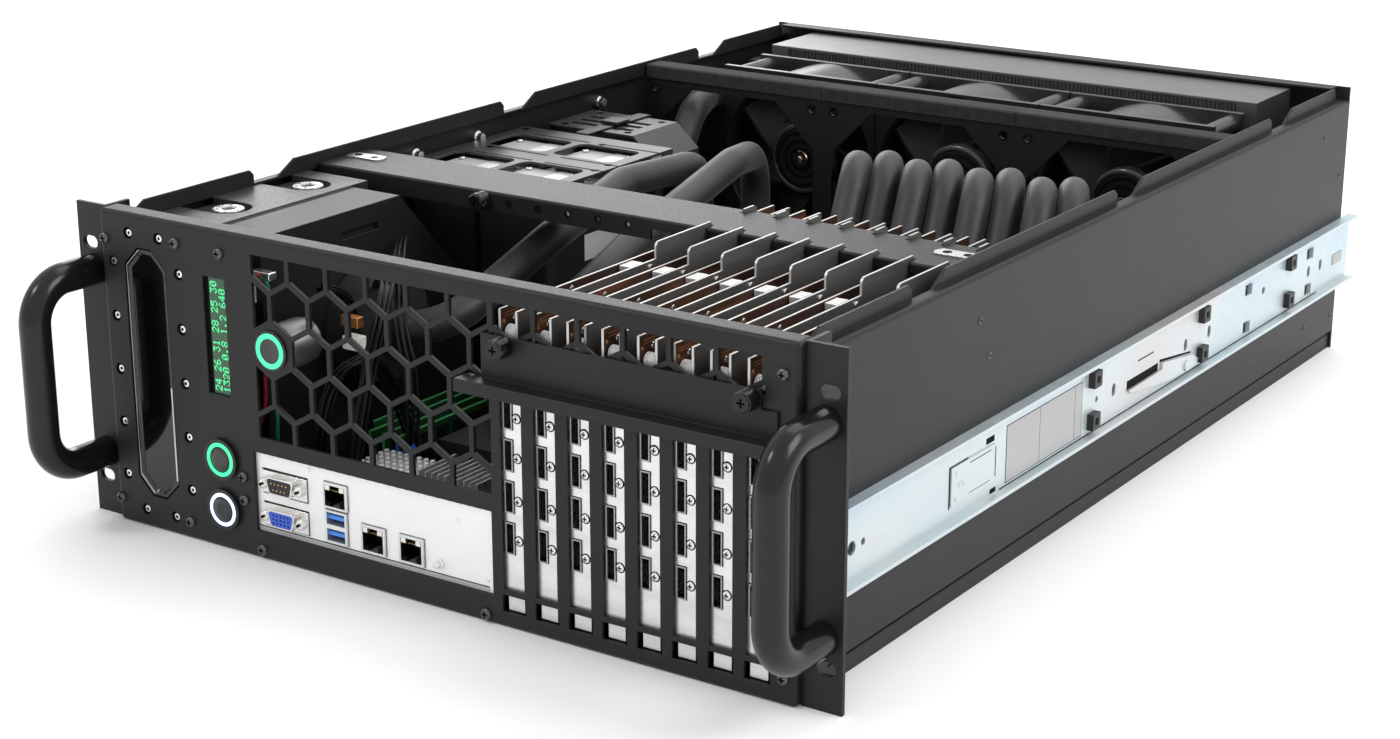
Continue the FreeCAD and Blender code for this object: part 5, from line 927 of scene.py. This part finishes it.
def drive_lids():
    """Lids and screws of the drives, and a blank sticker on their side."""
    base, grey_top, lid_top = span("storage_drives")[2][1], 152.2, 152.6
    near, far, screw_side, screw_deep = 15, 17, 17, 12
    made = Fitting(alloy)
    for x in (-182, -130):
        for p in (268.5, 326.5):
            made.block((x - 21, x + 2), (p - near, p + far), (base, grey_top), grey_foil)
            made.block((x + 3, x + 21), (p - near, p + far), (base, lid_top))
            for side in (-screw_side, screw_side):
                made.screw("z", x + side, p + screw_deep, lid_top, 2.2, 1.2, nickel, sign=1)
    made.block((-106.5, -106.3), (281, 329), (100.8, 117), paper)
    made.done("drive_lids", bevel=0.2)


def cage_screws():
    """Screws and slots of the storage cage and the screws of the controller cover; the slots are dark strips
    of painted shade.
    """
    cage_top, cover_top = span("storage_cage")[2][1], span("controller_cover")[2][1]
    head, height = 2.6, 1.5
    slot_long, slot_wide, slot_z = 44, 2.2, (cage_top - 0.1, cage_top + 0.03)
    made = Fitting(blackened)
    for x, p in ((-208, 238), (-104, 238), (-195.5, 304), (-104.5, 304), (-103, 288),
                 (-140.5, 347), (-208, 357)):
        made.screw("z", x, p, cage_top, head, height)
    for x in (-195, -141):
        for p in (287.4, 303.4, 346.4):
            made.block((x, x + slot_long), (p, p + slot_wide), slot_z, dark)
    for x, p in ((-200, 388), (-150, 388), (-200, 426), (-150, 426)):
        made.screw("z", x, p, cover_top, head, height)
    made.done("cage_screws")


def cover_strap():
    """Strap over the controller cover with its buckle."""
    wide, front, rear, sheet = (-176, -166), 366, 437, 1
    low, top, buckle_top = 120, 156.2, 158.4
    made = Fitting(ink)
    made.block(wide, (front, rear - sheet), (top - sheet, top))
    made.block(wide, (rear - sheet, rear), (low, top))
    made.block(wide, (front, front + sheet), (low, top))
    made.block((-178, -164), (396, 410), (top, buckle_top))
    made.done("cover_strap", bevel=0.5)


def wall_details():
    """Foam seal over the fan wall, fins of the radiator, rims and studs."""
    front, rear, top, foot = 495.4, 512.4, 175.6, 166.5
    skin, inside, shelf = 496.95, 1.2, 174.05
    outline = [(front, foot), (front, top - 1), (front + inside, top), (rear - 1, top), (rear, top - 1),
               (rear, shelf), (skin, shelf), (skin, foot)]
    made = Fitting(foam)
    for low, high in ((-211, -70.9), (-70.6, 70.6), (70.9, 211)):
        made.prism("x", outline, low, high)
    made.done("wall_seal", bevel=0.3)
    fin, fin_pitch, fin_deep = 0.5, 2.87, 1.3
    made = Fitting(satin)
    for k in range(118):
        x = -168 + fin_pitch * k
        for p in (612.3, 668.4):
            made.block((x, x + fin), (p, p + fin_deep), (52.2, 171.8))
    made.done("radiator_fins")
    made = Fitting(handle)
    for x in (-62.3, -79.2, 62.3, 79.2, 203.7, -203.7):
        made.ring("y", x, 496.6, 159.6, 2.4, 3.4, 0.45)
    for p in (256, 316.7, 447):
        made.spun("x", -218, p, 157.3, [(4, 0), (4, 3), (2.6, 3.6), (2.6, 7)], nickel, count=20)
    made.done("wall_fittings")


def side_screws():
    """Screws in the case sides and ears, and a painted shadow along each foot, under the side panel's lower
    edge.
    """
    ear_face = SIDE + 2.5
    shadow_strip_face, shadow_strip_sheet = span("base_tray")[0][1], 0.12
    made = Fitting(blackened)
    for sign in (1, -1):
        for p, z in ((171, 145), (182, 124), (640, 150), (627, 26.4), (675, 23), (672, 120)):
            made.screw("x", sign * SIDE, p, z, 1.9, 0.5, sign=sign)
        for z in (162, 148, 30, 14):
            made.screw("x", sign * ear_face, 12, z, 2.4, 0.7, sign=sign)
        # Dark strip on the tray's face below the panel: painted shadow of the panel's edge.
        made.block(pair(sign * shadow_strip_face, sign * (shadow_strip_face + shadow_strip_sheet)), (13, 678), (9.4, 12), dark)
    made.done("side_screws")


def rail_details(side, sign):
    """Latch plate, blank foil, stops, hooks and dark cuts on a slide rail, with painted shadow lines at the
    plate, the lever and the web's bottom edge.
    """
    web = (SIDE + RAIL_SHEET) * sign
    plate_sheet, line, stop_high, mark_sheet = 1, 0.06, 4, 0.1
    made = Fitting(zinc)

    def leaf(p, z, lift, finish):
        """Flat strip standing off the rail's web."""
        made.block(pair(web, web + lift * sign), p, z, finish)

    leaf((141.3, 187.5), (55.5, 75.9), plate_sheet, zinc)
    # Dark lines along the plate's left and top edges: painted shadow of the raised plate.
    leaf((140.1, 141.3), (54.2, 76.6), line, dark)
    leaf((141.3, 160), (75.9, 76.6), line, dark)
    leaf((160, 183), (73.5, 74), plate_sheet + line, dark)
    leaf((160, 183), (57.4, 57.7), plate_sheet + line, dark)
    leaf((187.5, 188.5), (58, 74), plate_sheet, dark)
    rivet = [(1.7, 0), (1.5, 0.5 * sign), (0.3, 0.6 * sign)]
    for p, z in ((146.5, 72.2), (146.5, 58.8), (149.5, 65.6), (154, 65.6)):
        made.spun("x", web + plate_sheet * sign, p, z, rivet, count=16)
    cut, foil_sheet = 0.08, 0.16
    leaf((179, 188), (77.2, 80.5), cut, dark)
    leaf((184.5, 191), (48.8, 51.4), cut, dark)
    leaf((201.4, 290.6), (49.7, 81.3), cut, dark)
    for low, high in ((201.9, 239.6), (240, 281.4), (281.8, 290.1)):
        leaf((low, high), (50.1, 80.9), foil_sheet, grey_foil)
    half, notch, hole = 4.5, 1, 1.8
    for p, low, high in ((302.3, 55.7, 79.9), (450.4, 55.9, 80.2), (587, 56.2, 80.7)):
        for z in (low, high):
            stop = [(p - half, z - 4.6), (p + half - notch, z - 4.6), (p + half, z - 4.6 + notch),
                    (p + half, z + 4.6), (p - half, z + 4.6)]
            made.prism("x", stop, web, web + stop_high * sign, ink)
            mark = [(p - hole, z - 2), (p + hole, z - 2), (p + hole, z + 2), (p - hole, z + 2)]
            made.prism("x", mark, web + stop_high * sign, web + (stop_high + mark_sheet) * sign, dark)
    for p in (524, 626):
        for z in (54, 78):
            leaf((p, p + 3), about(z, 3.2), 1.6, zinc)
    leaf((666, 682), (60.4, 67.4), 0.6, grey_foil)
    leaf((362, 383), (73.6, 74.4), cut, dark)
    # Dark strips under the lever, along the bottom of the web and in the lever's gap: painted shadow.
    thin = 0.05
    leaf((348, 390), (60.5, 65.6), thin, dark)
    leaf((195, 640), (47.9, 48.7), thin, dark)
    lever_gap = [(392.2, 65.3), (392.2, 66.9), (437, 60.6), (437, 59.4)]
    made.prism("x", lever_gap, web, web + thin * sign, dark)
    made.done(f"{side}_rail_fittings", bevel=0.25)


def supply_fittings():
    """Fan guards, latches, lamps and inlet pins of the power supplies."""
    fan_z, wire_half, guard_length = 22, 0.55, 1.1
    bar, bar_half, bar_p = 14.5, 0.7, (REAR - 1.4, REAR - 0.5)
    lamp = [(1.4, 0), (1.2, 0.6), (0.2, 0.8)]
    pin_pitch, pin_half, pin_high, pin_low, pin_tall = 5.5, 0.9, 23.6, 19.4, 2
    made = Fitting(steel)
    for x in SUPPLY_X:
        fan, inlet = x - 21, x + 21
        for radius in (3.5, 7, 10.5, 14):
            inner, outer = about(radius, wire_half)
            made.ring("y", fan, REAR - 1.2, fan_z, inner, outer, guard_length, count=36)
        made.block(about(fan, bar), bar_p, about(fan_z, bar_half))
        made.block(about(fan, bar_half), bar_p, about(fan_z, bar))
        made.block((x + 37, x + 42), (REAR, REAR + 7), (12, 32), ink)
        made.spun("y", x + 5, REAR, 37.5, lamp, green_light, count=14)
        for k, z in ((-1, pin_low), (0, pin_high), (1, pin_low)):
            across = about(inlet + pin_pitch * k, pin_half)
            made.block(across, (REAR - 8, REAR + 0.5), about(z, pin_tall), nickel)
    made.done("supply_fittings", bevel=0.3)


def rear_screws():
    """Screws of the rear panel."""
    made = Fitting(blackened)
    for x in (-214, 214):
        for z in (20, 60, 110, 165):
            made.screw("y", x, REAR, z, 3, 1.8, sign=1)
    made.done("rear_screws")


panel_screws()
window_screws()
knurls()
display()
button_lights()
status_lamp()
d_sub_sockets()
socket_insides()
bracket_fittings()
card_terminals()
card_edges()
plate_edges()
crossbar_details()
window_steps()
cap_faces()
pump_details()
hose_clamps()
fan_details()
board_parts()
memory_chips()
heatsink_fins()
harness()
drive_lids()
cage_screws()
cover_strap()
wall_details()
side_screws()
rail_details("right", 1)
rail_details("left", -1)
supply_fittings()
rear_screws()


def aimed(name, data, place, direction):
    """Lamp or camera at a place, looking along a direction."""
    made = placed(name, data)
    made.location = place
    made.rotation_euler = direction.to_track_quat("-Z", "Y").to_euler()
    return made


def floor_and_backdrop():
    """Pale floor under the object and an even white surround."""
    reach, brightness = 9, 0.9
    data = bpy.data.meshes.new("floor")
    corners = [(-reach, -reach, 0), (reach, -reach, 0), (reach, reach, 0), (-reach, reach, 0)]
    data.from_pydata(corners, [], [(0, 1, 2, 3)])
    pale = surface("pale_floor", (0.95, 0.95, 0.95), 0.8, tint=0.005, blotch=2, fine=1100, relief=0)
    data.materials.append(pale)
    floor = placed("floor", data)
    world = bpy.data.worlds.new("studio")
    world.use_nodes = True
    fill(world.node_tree.nodes["Background"], Color=(1, 1, 1, 1), Strength=brightness)
    bpy.context.scene.world = world
    bpy.context.scene.view_settings.view_transform = "Standard"


def lamps():
    """Soft lamps, in metres and watts: front left, right, rear above and a low one behind."""
    target = Vector((0, 0, 0.08))
    front_left = ((-1.2, -1.6, 2.2), 0.5, 14)
    right = ((1.8, 0.2, 1.6), 1.1, 21)
    above = ((0.1, 1.4, 2.4), 2, 20)
    behind = ((-1.47, 1.49, 0.68), 1.1, 10.5)
    for k, (place, size, power) in enumerate((front_left, right, above, behind)):
        lamp = bpy.data.lights.new(f"softbox_{k}", "AREA")
        lamp.size = size
        lamp.energy = power
        aimed(f"softbox_{k}", lamp, place, target - Vector(place))


def viewpoint():
    """Camera before the front right corner and above the case, in metres."""
    place, direction = (0.78323, -1.24040, 0.50941), Vector((-0.53118, 0.79052, -0.30483))
    lens = bpy.data.cameras.new("camera")
    lens.sensor_width = 36
    lens.lens = 65.745
    bpy.context.scene.camera = aimed("camera", lens, place, direction)


floor_and_backdrop()
lamps()
viewpoint()
